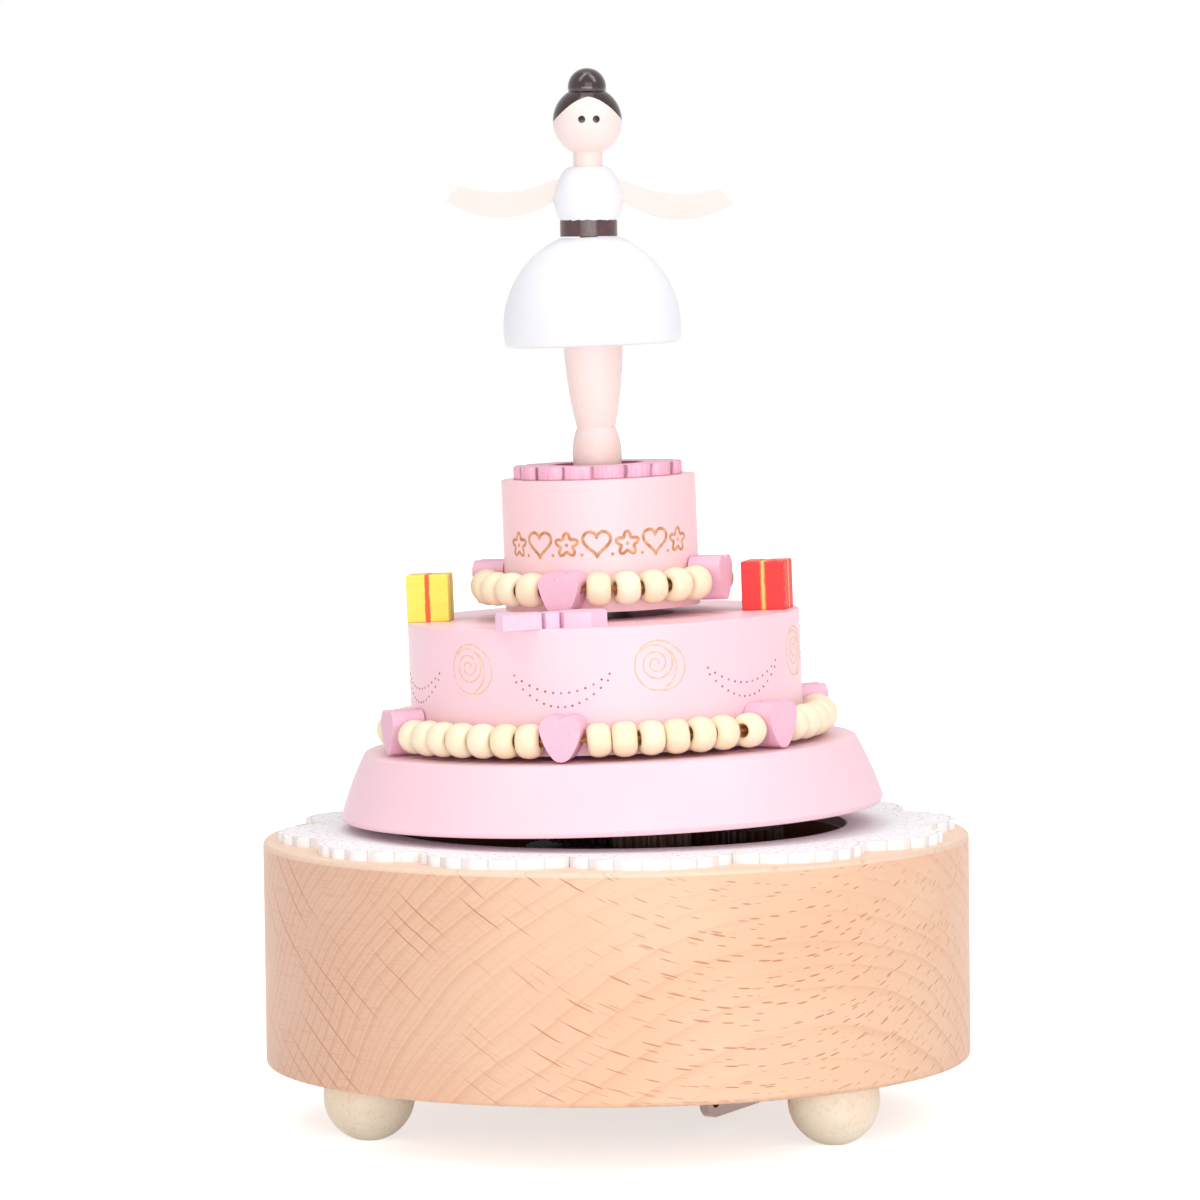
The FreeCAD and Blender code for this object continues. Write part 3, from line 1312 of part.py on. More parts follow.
def bead_shape():
    """A barrel-shaped bead with its hole along Y."""
    hole = number("bead_hole_radius")
    face = number("bead_face_radius")
    half = number("bead_length") / 2
    corners = [FreeCAD.Vector(hole, -half, 0), FreeCAD.Vector(face, -half, 0),
               FreeCAD.Vector(face, half, 0), FreeCAD.Vector(hole, half, 0)]
    belly = Part.Arc(corners[1], FreeCAD.Vector(number("bead_radius"), 0, 0), corners[2]).toShape()
    wire = Part.Wire([Part.makeLine(corners[0], corners[1]), belly, Part.makeLine(corners[2], corners[3]),
                      Part.makeLine(corners[3], corners[0])])
    return Part.Face(wire).revolve(HERE, ALONG_Y, FULL_TURN)


def heart_shape(string_height):
    """A heart that stands on its tip at z = 0, with its flat back at x = 0 and its string hole along Y."""
    half = number("heart_width") / 2
    height = number("heart_height")
    lobe_rise = number("heart_lobe_rise")
    tip = number("heart_tip_radius")
    edges = []
    lows = []
    for side in (1, -1):
        notch = FreeCAD.Vector(0, 0, height - lobe_rise)
        crest = FreeCAD.Vector(0, side * half * HEART_CREST_ACROSS, height)
        shoulder = FreeCAD.Vector(0, side * half, height - lobe_rise * HEART_SHOULDER_DROP)
        cheek = FreeCAD.Vector(0, side * half * HEART_CHEEK_ACROSS, height * HEART_CHEEK_UP)
        low = FreeCAD.Vector(0, side * tip * HEART_TIP_ACROSS, tip * HEART_TIP_UP)
        edges.append(Part.Arc(notch, crest, shoulder).toShape())
        edges.append(Part.Arc(shoulder, cheek, low).toShape())
        lows.append(low)
    edges.append(Part.Arc(lows[0], HERE, lows[1]).toShape())
    face = Part.Face(Part.Wire(Part.__sortEdges__(edges)))
    solid = face.extrude(ALONG_X * number("heart_depth"))
    across = number("heart_width")
    hole_start = FreeCAD.Vector(number("bead_radius"), -across, number(string_height))
    return solid.cut(Part.makeCylinder(number("heart_hole_radius"), 2 * across, hole_start, ALONG_Y))


def make_string_ring(prefix, tier_radius, ground):
    """Beads and hearts of one tier, threaded on a string that lies on a circle."""
    circle = number(f"{tier_radius} + bead_radius")
    string_height = number(f"{ground} + rest_gap + heart_string_height")
    beads_between = count(f"{prefix}_beads_between")
    heart_directions = even_directions(number(f"{prefix}_heart_direction"), count(f"{prefix}_hearts"))
    heart_spread = math.degrees(number("heart_width + heart_gap") / circle)
    bead_step = (FULL_TURN / len(heart_directions) - heart_spread) / beads_between
    bead_directions = []
    for start in heart_directions:
        for bead in range(beads_between):
            bead_directions.append(start + heart_spread / 2 + bead_step * (bead + 0.5))
    leaning_piece(f"{prefix}_beads", copies(bead_shape(), around(circle, string_height, bead_directions)))
    back = number(f"{tier_radius} + thrust_gap")
    low = number(f"{ground} + rest_gap")
    drop = number(f"{prefix}_front_drop")
    front = copies(heart_shape(f"heart_string_height + {prefix}_front_drop"),
                   around(back, low - drop, heart_directions[:1]))
    others = copies(heart_shape("heart_string_height"), around(back, low, heart_directions[1:]))
    leaning_piece(f"{prefix}_hearts", Part.makeCompound(front.Solids + others.Solids))
    string = doc.addObject("Part::Torus", f"{prefix}_string_ring")
    string.setExpression("Radius1", formula(f"{tier_radius} + bead_radius"))
    string.setExpression("Radius2", formula("string_radius"))
    keep(string, f"{prefix}_string", leaning.multiply(at("0", "0", str(string_height))))


def make_gift(name, x, y):
    body = new_body(name)
    square = new_sketch(body, f"{name}_outline", "XY_Plane", MIDDLE_TOP)
    half = f"({name}_side / 2)"
    draw_outline(square, [(f"-{half}", f"-{half}"), (half, f"-{half}"), (half, half), (f"-{half}", half)])
    solid = pad(body, f"{name}_block", square, f"{name}_height")
    rounding = body.newObject("PartDesign::Fillet", f"{name}_rounding")
    rounding.Base = (solid, [f"Edge{index + 1}" for index in range(len(solid.Shape.Edges))])
    rounding.setExpression("Radius", formula("gift_edge"))
    doc.recompute()
    keep(body, name, leaning.multiply(at(x, y, "0", number(f"{name}_turn"))))


def make_bow():
    body = new_body("bow")
    plan = new_sketch(body, "bow_outline", "XY_Plane", MIDDLE_TOP)
    draw_outline(plan, [
        ("-bow_knot_half", "-bow_knot_depth"),
        ("bow_knot_half", "-bow_knot_depth"),
        ("bow_notch_half", "-bow_notch_depth"),
        ("bow_inner_half", "-bow_inner_depth", "bow_wing_round", "left"),
        ("bow_crest_half", "-bow_crest_depth"),
        ("bow_tail_half", "-bow_tail_depth"),
        ("bow_tip_half", "-bow_tip_depth"),
        ("bow_tip_half", "bow_tip_depth"),
        ("bow_crest_half", "bow_crest_depth", "bow_wing_round", "left"),
        ("bow_inner_half", "bow_inner_depth"),
        ("bow_notch_half", "bow_notch_depth"),
        ("bow_knot_half", "bow_knot_depth"),
        ("-bow_knot_half", "bow_knot_depth"),
        ("-bow_notch_half", "bow_notch_depth"),
        ("-bow_inner_half", "bow_inner_depth"),
        ("-bow_end_half", "bow_end_depth"),
        ("-bow_corner_half", "-bow_corner_depth"),
        ("-bow_end_half", "-bow_end_depth"),
        ("-bow_inner_half", "-bow_inner_depth"),
        ("-bow_notch_half", "-bow_notch_depth"),
    ])
    pad(body, "bow_ply", plan, "bow_thickness")
    keep(body, "bow", leaning.multiply(at("-bow_left", "-bow_front", "0", number("bow_turn"))))


# Dancer


def make_legs():
    body = new_body("dancer_legs")
    wide = f"{LEGS_BOTTOM} + foot_wide_height"
    ankle = f"{LEGS_BOTTOM} + ankle_height"
    bore = "(rod_radius + fit_gap)"
    bore_top = f"({LEGS_BOTTOM} + rod_reach + fit_gap)"
    revolve(body, "legs_wood", [
        (bore, LEGS_BOTTOM),
        ("foot_sole_radius", LEGS_BOTTOM, "foot_sole_curve", "left"),
        ("foot_wide_radius", wide, "foot_top_curve", "left"),
        ("ankle_radius", ankle, "leg_curve", "left"),
        ("thigh_radius", SKIRT_BOTTOM),
        ("leg_tenon_radius", SKIRT_BOTTOM),
        ("leg_tenon_radius", f"{SKIRT_BOTTOM} + leg_tenon_length"),
        ("0", f"{SKIRT_BOTTOM} + leg_tenon_length"),
        ("0", bore_top),
        (bore, bore_top),
    ])
    keep(body, "dancer_legs", leaning)
    rod_bottom = f"({DECK_TOP} - bush_depth + bush_end + thrust_gap)"
    steel = rod("steel_rod", "rod_radius", f"{LEGS_BOTTOM} + rod_reach - {rod_bottom}")
    keep(steel, "dancer_rod", leaning.multiply(at("0", "0", rod_bottom)))


def make_skirt():
    body = new_body("dancer_skirt")
    tenon_top = f"({SKIRT_BOTTOM} + leg_tenon_length + fit_gap)"
    pin_low = f"({SKIRT_TOP} - waist_pin_length + waist_pin_up)"
    revolve(body, "skirt_wood", [
        ("leg_tenon_radius + fit_gap", SKIRT_BOTTOM),
        ("skirt_radius - skirt_edge", SKIRT_BOTTOM, "skirt_edge", "left"),
        ("skirt_radius", f"{SKIRT_BOTTOM} + skirt_edge", "skirt_curve", "left"),
        ("skirt_top_radius", SKIRT_TOP),
        ("waist_pin_radius + rest_gap", SKIRT_TOP),
        ("waist_pin_radius + rest_gap", pin_low),
        ("0", pin_low),
        ("0", tenon_top),
        ("leg_tenon_radius + fit_gap", tenon_top),
    ])
    keep(body, "dancer_skirt", leaning)


def make_upper_figure():
    """Torso, arms, head, bun and waist pin, upright above the leaning legs; z = 0 is the waist."""
    waist_point = leaning.multVec(place("0", "0", f"{SKIRT_TOP} + waist_gap"))
    waist = FreeCAD.Placement(waist_point, FreeCAD.Rotation())
    body = new_body("dancer_torso")
    neck_hole = "(neck_radius + fit_gap)"
    pin_hole = "(waist_pin_radius + fit_gap)"
    revolve(body, "torso_wood", [
        (pin_hole, "0"),
        ("waist_radius", "0"),
        ("waist_radius", "belt_height", "torso_curve", "left"),
        ("chest_radius", "chest_height", "torso_curve", "left"),
        ("shoulder_radius", "shoulder_height", "shoulder_round", "left"),
        ("neck_radius + collar_width", "torso_height"),
        (neck_hole, "torso_height"),
        (neck_hole, "torso_height - neck_tenon"),
        ("0", "torso_height - neck_tenon"),
        ("0", "waist_pin_up + fit_gap"),
        (pin_hole, "waist_pin_up + fit_gap"),
    ])
    slot = new_sketch(body, "arm_slot_outline", "XZ_Plane", "-arm_thickness / 2 - fit_gap")
    slot_low = "(arm_root_low - fit_gap)"
    slot_high = "(arm_root_high + fit_gap)"
    corners = []
    for across, up in (("-arm_reach", slot_low), ("arm_reach", slot_low),
                       ("arm_reach", slot_high), ("-arm_reach", slot_high)):
        corners.append((f"{across} * cos(arms_tilt) + {up} * sin(arms_tilt)",
                        f"{up} * cos(arms_tilt) - {across} * sin(arms_tilt)"))
    draw_outline(slot, corners)
    pocket(body, "arm_slot", slot, "arm_thickness + 2 * fit_gap", upward=True)
    keep(body, "dancer_torso", waist)
    body = new_body("dancer_arms")
    outline = new_sketch(body, "arms_outline", "XZ_Plane")
    draw_outline(outline, [
        ("-arm_root", "arm_root_low"),
        ("arm_root", "arm_root_low", "arm_under_curve", "left"),
        ("arm_reach", "arm_tip_low"),
        ("arm_top_reach", "arm_tip_high", "arm_over_curve", "right"),
        ("arm_root", "arm_root_high"),
        ("-arm_root", "arm_root_high", "arm_over_curve", "right"),
        ("-arm_top_reach", "arm_tip_high"),
        ("-arm_reach", "arm_tip_low", "arm_under_curve", "left"),
    ])
    pad(body, "arms_ply", outline, "arm_thickness", midplane=True)
    keep(body, "dancer_arms", waist.multiply(at("0", "0", "0", number("arms_tilt"), ALONG_Y)))
    head = Part.makeSphere(number("head_radius"), place("0", "0", "head_height"))
    neck_low = place("0", "0", "torso_height - neck_tenon")
    neck = Part.makeCylinder(number("neck_radius"), number("head_height") - neck_low.z, neck_low)
    feature("dancer_head", head.fuse(neck).removeSplitter(), waist)
    bun = Part.makeSphere(number("bun_radius"), place("0", "0", "bun_height"))
    hollow = Part.makeSphere(number("head_radius + fit_gap"), place("0", "0", "head_height"))
    feature("hair_bun", bun.cut(hollow), waist)
    pin = rod("waist_pin_rod", "waist_pin_radius", "waist_pin_length")
    keep(pin, "waist_pin", waist.multiply(at("0", "0", "waist_pin_up - waist_pin_length")))


# Directions and tooth phases of the train, from the named sizes

KEY_TO_SPINDLE = number("key_direction") + HALF_TURN
IDLER_REACH = number("gear_module * (cake_gear_teeth + idler_teeth) / 2 + mesh_clearance")
IDLER_TO_KEY_REACH = number("gear_module * (cake_pinion_teeth + idler_teeth) / 2 + mesh_clearance")
IDLER_LEVEL_SPINDLE_X = -number(f"({CAKE_GEAR_BOTTOM} + cake_gear_width / 2 - lean_pivot) * tan(lean_angle)")
KEY_OFFSET = place(KEY_X, KEY_Y, "0") - FreeCAD.Vector(IDLER_LEVEL_SPINDLE_X, 0, 0)
KEY_BEARING = math.atan2(KEY_OFFSET.y, KEY_OFFSET.x)
IDLER_SWING = math.acos((IDLER_REACH ** 2 + KEY_OFFSET.Length ** 2 - IDLER_TO_KEY_REACH ** 2)
                        / (2 * IDLER_REACH * KEY_OFFSET.Length))
IDLER_BEARING = KEY_BEARING - IDLER_SWING
IDLER_X = str(IDLER_LEVEL_SPINDLE_X + IDLER_REACH * math.cos(IDLER_BEARING))
IDLER_Y = str(IDLER_REACH * math.sin(IDLER_BEARING))
IDLER_TO_SPINDLE = math.degrees(IDLER_BEARING) + HALF_TURN
KEY_TO_IDLER = math.degrees(math.atan2(float(IDLER_Y) - number(KEY_Y), float(IDLER_X) - number(KEY_X)))
IDLER_TOOTH = mate_tooth(count("cake_pinion_teeth"), KEY_TO_IDLER, KEY_TO_IDLER, count("idler_teeth"))
BUSH_X = f"(-({DECK_BOTTOM} - lean_pivot) * tan(lean_angle))"

make_drum()
make_feet()
make_lace()
make_bedplate()
make_housing()
make_mainspring()
make_key()
make_arbor()
make_crown_wheel()
make_cylinder_set()
make_comb()
make_small_screws()
make_governor_bracket()
make_governor_wheel()
make_worm()
make_deck()
make_pillars()
make_bush()
make_idler()
make_key_pinions()
make_spindle_gears()
make_hub()
make_board()
make_spacer_and_middle_tier()
make_upper_tier()
make_flower_ring()
make_string_ring("lower", "middle_radius", BOARD_TOP)
make_string_ring("upper", "upper_radius", f"{UPPER_BOTTOM} + upper_string_lift")
make_gift("yellow_gift", "-yellow_gift_left", "0")
make_gift("red_gift", "red_gift_right", "-red_gift_front")
make_bow()
make_legs()
make_skirt()
make_upper_figure()
doc.recompute()

# Every object is checked before any file is written

for item in doc.Objects:
    if "Invalid" in item.State or "Error" in item.State:
        raise RuntimeError(f"{item.Label} failed to build")
for piece in sub_parts:
    if piece.Shape.isNull() or not piece.Shape.isValid():
        raise RuntimeError(f"{piece.Label} has no valid shape")

os.makedirs("parts", exist_ok=True)
for piece in sub_parts:
    piece.Shape.exportStep(f"parts/{piece.Label}.step")
print(len(sub_parts), "sub-parts written")
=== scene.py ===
import math

import bpy
from mathutils import Euler, Matrix, Vector

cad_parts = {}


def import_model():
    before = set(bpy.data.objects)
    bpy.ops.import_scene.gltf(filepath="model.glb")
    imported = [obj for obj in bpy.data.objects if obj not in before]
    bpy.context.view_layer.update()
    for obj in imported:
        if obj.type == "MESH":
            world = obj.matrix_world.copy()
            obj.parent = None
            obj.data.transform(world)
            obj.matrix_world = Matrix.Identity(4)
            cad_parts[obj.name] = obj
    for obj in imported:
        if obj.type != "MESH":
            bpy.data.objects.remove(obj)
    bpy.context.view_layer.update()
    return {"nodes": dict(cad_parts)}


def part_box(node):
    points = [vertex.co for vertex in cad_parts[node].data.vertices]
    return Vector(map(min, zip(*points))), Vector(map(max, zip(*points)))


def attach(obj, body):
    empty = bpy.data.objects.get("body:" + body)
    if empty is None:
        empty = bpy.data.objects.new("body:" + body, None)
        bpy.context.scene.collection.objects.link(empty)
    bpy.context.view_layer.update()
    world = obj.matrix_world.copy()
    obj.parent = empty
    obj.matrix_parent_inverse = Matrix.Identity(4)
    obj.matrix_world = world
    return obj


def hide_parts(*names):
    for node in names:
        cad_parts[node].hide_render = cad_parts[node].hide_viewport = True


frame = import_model()

# Lengths are in millimetres until MM turns them into metres. Directions are in degrees round the spindle
MM = 0.001
FRONT = -90.0

# The cake, the upper tier and the dancer lean to the left together, about a point on the drum's axis
LEAN = math.radians(1.5)
LEAN_PIVOT = 23.0

# Drum and doily
DRUM_FLOOR_TOP = 15.2
CAVITY_RADIUS = 38.5
DRUM_TOP = 49.15
LACE_TOP = 50.75
LACE_SHIFT = 0.45
LACE_LOBES = 12
LACE_LOBE_CIRCLE = 42.6
LACE_LOBE_RADIUS = 14.8
LACE_SCALLOPS = 7
LACE_DIRECTION = 276.0
LACE_HOLE_RADIUS = 38.7

# Board and tiers, upright before they lean
BOARD_TOP = 64.85
MIDDLE_TOP = 86.65
MIDDLE_RADIUS = 33.3
UPPER_BOTTOM = 88.05
UPPER_RADIUS = 16.5
RING_BOTTOM = 110.15
RING_RADIUS = 14.4
RING_HOLE_RADIUS = 7.15
RING_PETALS = 16
RING_DIRECTION = 266.7

# Beads, hearts and the dancer's head
BEAD_RADIUS = 3.0
BEAD_LENGTH = 4.1
BEAD_FACE_RADIUS = 1.5
BEAD_HOLE_RADIUS = 1.1
HEART_WIDTH = 7.0
HEART_GAP = 0.3
HEAD_RADIUS = 5.85


# Nodes, for finishes and for repeated shapes


class Wire:
    """An output of a node. Arithmetic on it adds Math nodes."""

    def __init__(self, nodes, socket):
        self.nodes = nodes
        self.socket = socket

    def __add__(self, other):
        return self.nodes.math("ADD", self, other)

    __radd__ = __add__

    def __sub__(self, other):
        return self.nodes.math("SUBTRACT", self, other)

    def __rsub__(self, other):
        return self.nodes.math("SUBTRACT", other, self)

    def __mul__(self, other):
        return self.nodes.math("MULTIPLY", self, other)

    __rmul__ = __mul__

    def __truediv__(self, other):
        return self.nodes.math("DIVIDE", self, other)

    def __rtruediv__(self, other):
        return self.nodes.math("DIVIDE", other, self)

    def __pow__(self, other):
        return self.nodes.math("POWER", self, other)

    def __abs__(self):
        return self.nodes.math("ABSOLUTE", self)

    def __gt__(self, other):
        return self.nodes.math("GREATER_THAN", self, other)

    def __lt__(self, other):
        return self.nodes.math("LESS_THAN", self, other)


class Nodes:
    """A node tree that grows by expressions."""

    def __init__(self, tree):
        self.tree = tree

    def node(self, kind, settings=None, values=None, output=0):
        """Adds one node: its settings first, then the values or links of its sockets."""
        made = self.tree.nodes.new(kind)
        for name, value in (settings or {}).items():
            setattr(made, name, value)
        for socket, value in (values or {}).items():
            if isinstance(value, Wire):
                self.tree.links.new(value.socket, made.inputs[socket])
            else:
                made.inputs[socket].default_value = value
        return Wire(self, made.outputs[output])

    def math(self, operation, first, second=0.0):
        return self.node("ShaderNodeMath", {"operation": operation}, {0: first, 1: second})

    def vector(self, operation, first, second):
        return self.node("ShaderNodeVectorMath", {"operation": operation}, {0: first, 1: second})

    def length(self, vector):
        return self.node("ShaderNodeVectorMath", {"operation": "LENGTH"}, {0: vector}, "Value")

    def axes(self, vector):
        return [self.node("ShaderNodeSeparateXYZ", {}, {0: vector}, axis) for axis in range(3)]

    def point(self, x=0.0, y=0.0, z=0.0):
        return self.node("ShaderNodeCombineXYZ", {}, {0: x, 1: y, 2: z})

    def around(self, reach, angle, height=0.0):
        """The point so far from the upright axis, in a direction in radians."""
        return self.point(reach * self.math("COSINE", angle), reach * self.math("SINE", angle), height)

    def larger(self, first, second):
        return self.math("MAXIMUM", first, second)

    def smaller(self, first, second):
        return self.math("MINIMUM", first, second)


class Finish(Nodes):
    """A material in the making. Its patterns read places in millimetres."""

    def __init__(self, name, **steady):
        self.material = bpy.data.materials.new(name)
        self.material.use_nodes = True
        super().__init__(self.material.node_tree)
        self.shader = self.tree.nodes["Principled BSDF"]
        for socket, value in steady.items():
            self.shader.inputs[socket.replace("_", " ")].default_value = value
        where = self.node("ShaderNodeTexCoord", {}, {}, "Object")
        self.place = self.vector("MULTIPLY", where, (1 / MM, 1 / MM, 1 / MM))

    def local(self, place, centre, turn):
        """The place as seen from a piece that stands at a centre and is turned."""
        return self.node("ShaderNodeMapping", {"vector_type": "TEXTURE"},
                         {"Vector": place, "Location": centre, "Rotation": turn})

    def upright(self):
        """The place as it would be if the cake's spindle stood plumb."""
        from_pivot = self.local(self.place, (0.0, 0.0, LEAN_PIVOT), (0.0, -LEAN, 0.0))
        return self.vector("ADD", from_pivot, (0.0, 0.0, LEAN_PIVOT))

    def noise(self, place, scale, detail=2.0, squeeze=None, roughness=0.5):
        """Cloudy noise. A squeeze below 1 along an axis draws it out into fibres that way."""
        if squeeze:
            place = self.vector("MULTIPLY", place, squeeze)
        return self.node("ShaderNodeTexNoise", {},
                         {"Vector": place, "Scale": scale, "Detail": detail, "Roughness": roughness})

    def wander(self, number):
        """Smooth noise along a line of numbers."""
        return self.noise(self.point(number), 1.0, 0.0)

    def ramp(self, value, low, high, start=0.0, end=1.0):
        """A smooth step of a value between two limits."""
        return self.node("ShaderNodeMapRange", {"interpolation_type": "SMOOTHSTEP"},
                         {"Value": value, "From Min": low, "From Max": high, "To Min": start, "To Max": end})

    def mix(self, share, first, second, way="MIX"):
        return self.node("ShaderNodeMix", {"data_type": "RGBA", "blend_type": way},
                         {0: share, 6: first, 7: second}, 2)

    def tint(self, colour, value, low, high):
        """The colour times a factor that goes from low to high as a value goes from 0 to 1."""
        factor = self.node("ShaderNodeMapRange", {}, {"Value": value, "To Min": low, "To Max": high})
        grey = self.node("ShaderNodeCombineColor", {}, {0: factor, 1: factor, 2: factor})
        return self.mix(1.0, colour, grey, "MULTIPLY")

    def wear(self, colour, roughness, height, depth, metallic=None):
        """Gives the surface its colour, roughness and relief, whose depth is in millimetres."""
        relief = self.node("ShaderNodeBump", {}, {"Strength": 1.0, "Distance": depth * MM, "Height": height})
        surface = {"Base Color": colour, "Roughness": roughness, "Metallic": metallic, "Normal": relief}
        for socket, value in surface.items():
            if isinstance(value, Wire):
                self.tree.links.new(value.socket, self.shader.inputs[socket])
            elif value is not None:
                self.shader.inputs[socket].default_value = value
        return self.material


class Shape(Nodes):
    """A Geometry Nodes tree with named sizes. make() turns it into one plain mesh."""

    def __init__(self, name, **sizes):
        self.name = name
        super().__init__(bpy.data.node_groups.new(name, "GeometryNodeTree"))
        self.tree.interface.new_socket("Geometry", in_out="OUTPUT", socket_type="NodeSocketGeometry")
        self.sizes = {}
        for label, value in sizes.items():
            kind = "NodeSocketInt" if isinstance(value, int) else "NodeSocketFloat"
            if isinstance(value, bpy.types.Object):
                kind = "NodeSocketObject"
            socket = self.tree.interface.new_socket(label, in_out="INPUT", socket_type=kind)
            self.sizes[socket.identifier] = value
        entry = self.tree.nodes.new("NodeGroupInput")
        for label in sizes:
            setattr(self, label, Wire(self, entry.outputs[label]))

    def join(self, *parts):
        joined = self.tree.nodes.new("GeometryNodeJoinGeometry")
        for part in parts:
            self.tree.links.new(part.socket, joined.inputs[0])
        return Wire(self, joined.outputs[0])

    def moved(self, geometry, place=(0.0, 0.0, 0.0), turn=(0.0, 0.0, 0.0), scale=(1.0, 1.0, 1.0)):
        return self.node("GeometryNodeTransform", {},
                         {"Geometry": geometry, "Translation": place, "Rotation": turn, "Scale": scale})

    def index(self):
        return self.node("GeometryNodeInputIndex")

    def random(self, low, high, seed):
        """A number, or a vector where the limits are vectors, drawn anew for each point."""
        if isinstance(low, tuple):
            return self.node("FunctionNodeRandomValue", {"data_type": "FLOAT_VECTOR"},
                             {0: low, 1: high, "Seed": seed})
        return self.node("FunctionNodeRandomValue", {"data_type": "FLOAT"},
                         {2: low, 3: high, "Seed": seed}, 1)

    def set_position(self, geometry, place):
        return self.node("GeometryNodeSetPosition", {}, {"Geometry": geometry, "Position": place})

    def points(self, amount, place):
        return self.node("GeometryNodePoints", {}, {"Count": amount, "Position": place})

    def copies(self, points, piece, turn=(0.0, 0.0, 0.0), scale=(1.0, 1.0, 1.0)):
        return self.node("GeometryNodeInstanceOnPoints", {},
                         {"Points": points, "Instance": piece, "Rotation": turn, "Scale": scale})

    def realized(self, geometry):
        return self.node("GeometryNodeRealizeInstances", {}, {"Geometry": geometry})

    def stroke(self, curves, half_width):
        """A round stroke along curves."""
        outline = self.node("GeometryNodeCurvePrimitiveCircle", {}, {"Resolution": 8, "Radius": half_width})
        return self.node("GeometryNodeCurveToMesh", {},
                         {"Curve": curves, "Profile Curve": outline, "Fill Caps": True})

    def dot(self, radius):
        return self.node("GeometryNodeMeshUVSphere", {}, {"Segments": 8, "Rings": 5, "Radius": radius})

    def wrapped(self, flat, radius, relief):
        """Bends a flat design, x along the rim and y up, round an upright drum."""
        x, y, z = self.axes(self.node("GeometryNodeInputPosition"))
        return self.set_position(self.realized(flat), self.around(z * relief + radius, x / radius, y))

    def leaned(self, geometry):
        """Tips upright geometry onto the leaning spindle."""
        low = self.moved(geometry, (0.0, 0.0, -LEAN_PIVOT * MM))
        tipped = self.moved(low, turn=(0.0, -LEAN, 0.0))
        return self.moved(tipped, (0.0, 0.0, LEAN_PIVOT * MM))

    def make(self, geometry, material):
        """Runs the tree once and returns a plain object that sits at the origin."""
        painted = self.node("GeometryNodeSetMaterial", {},
                            {"Geometry": self.realized(geometry), "Material": material})
        end = self.tree.nodes.new("NodeGroupOutput")
        self.tree.links.new(painted.socket, end.inputs[0])
        holder = bpy.data.objects.new(self.name, bpy.data.meshes.new(self.name))
        bpy.context.scene.collection.objects.link(holder)
        modifier = holder.modifiers.new(self.name, "NODES")
        modifier.node_group = self.tree
        for identifier, value in self.sizes.items():
            modifier[identifier] = value
        bpy.context.view_layer.update()
        seen = holder.evaluated_get(bpy.context.evaluated_depsgraph_get())
        mesh = bpy.data.meshes.new_from_object(seen)
        holder.modifiers.remove(modifier)
        holder.data = mesh
        mesh.materials.clear()
        mesh.materials.append(material)
        return holder


def paint(red, green, blue):
    """A colour as a screen shows it, 0 to 255, as the linear colour that shaders read."""
    linear = []
    for value in (red, green, blue):
        share = value / 255
        linear.append(((share + 0.055) / 1.055) ** 2.4 if share > 0.04045 else share / 12.92)
    return (*linear, 1.0)


# Finishes of wood


# How the fibres run through the drum's block, and where its pith lies from the floor under its middle
FIBRE_TURN = math.radians(27)
FIBRE_RISE = math.radians(4)
FIBRE_BOW = 0.006
PITH_FORWARD = 153.0
PITH_DOWN = 78.0

# The rings crowd together away from the pith: a millimetre holds RING_CROWDING twice for each millimetre
# of distance, less RING_BASE. Each ring wanders slowly, trembles and differs from the next
RING_CROWDING = 0.00202
RING_BASE = 0.288
RING_UNEVEN = 1.6
RING_WANDER = 9.0
RING_TREMBLE = 0.5

# Rays are laid out on a sheet rolled round the pith, where they wander with the fibres
RAY_SHEET_RADIUS = 150.0
RAY_WANDER = 4.0
RAY_TREMBLE = 0.25
RAY_PITCH_OUT = 2.2


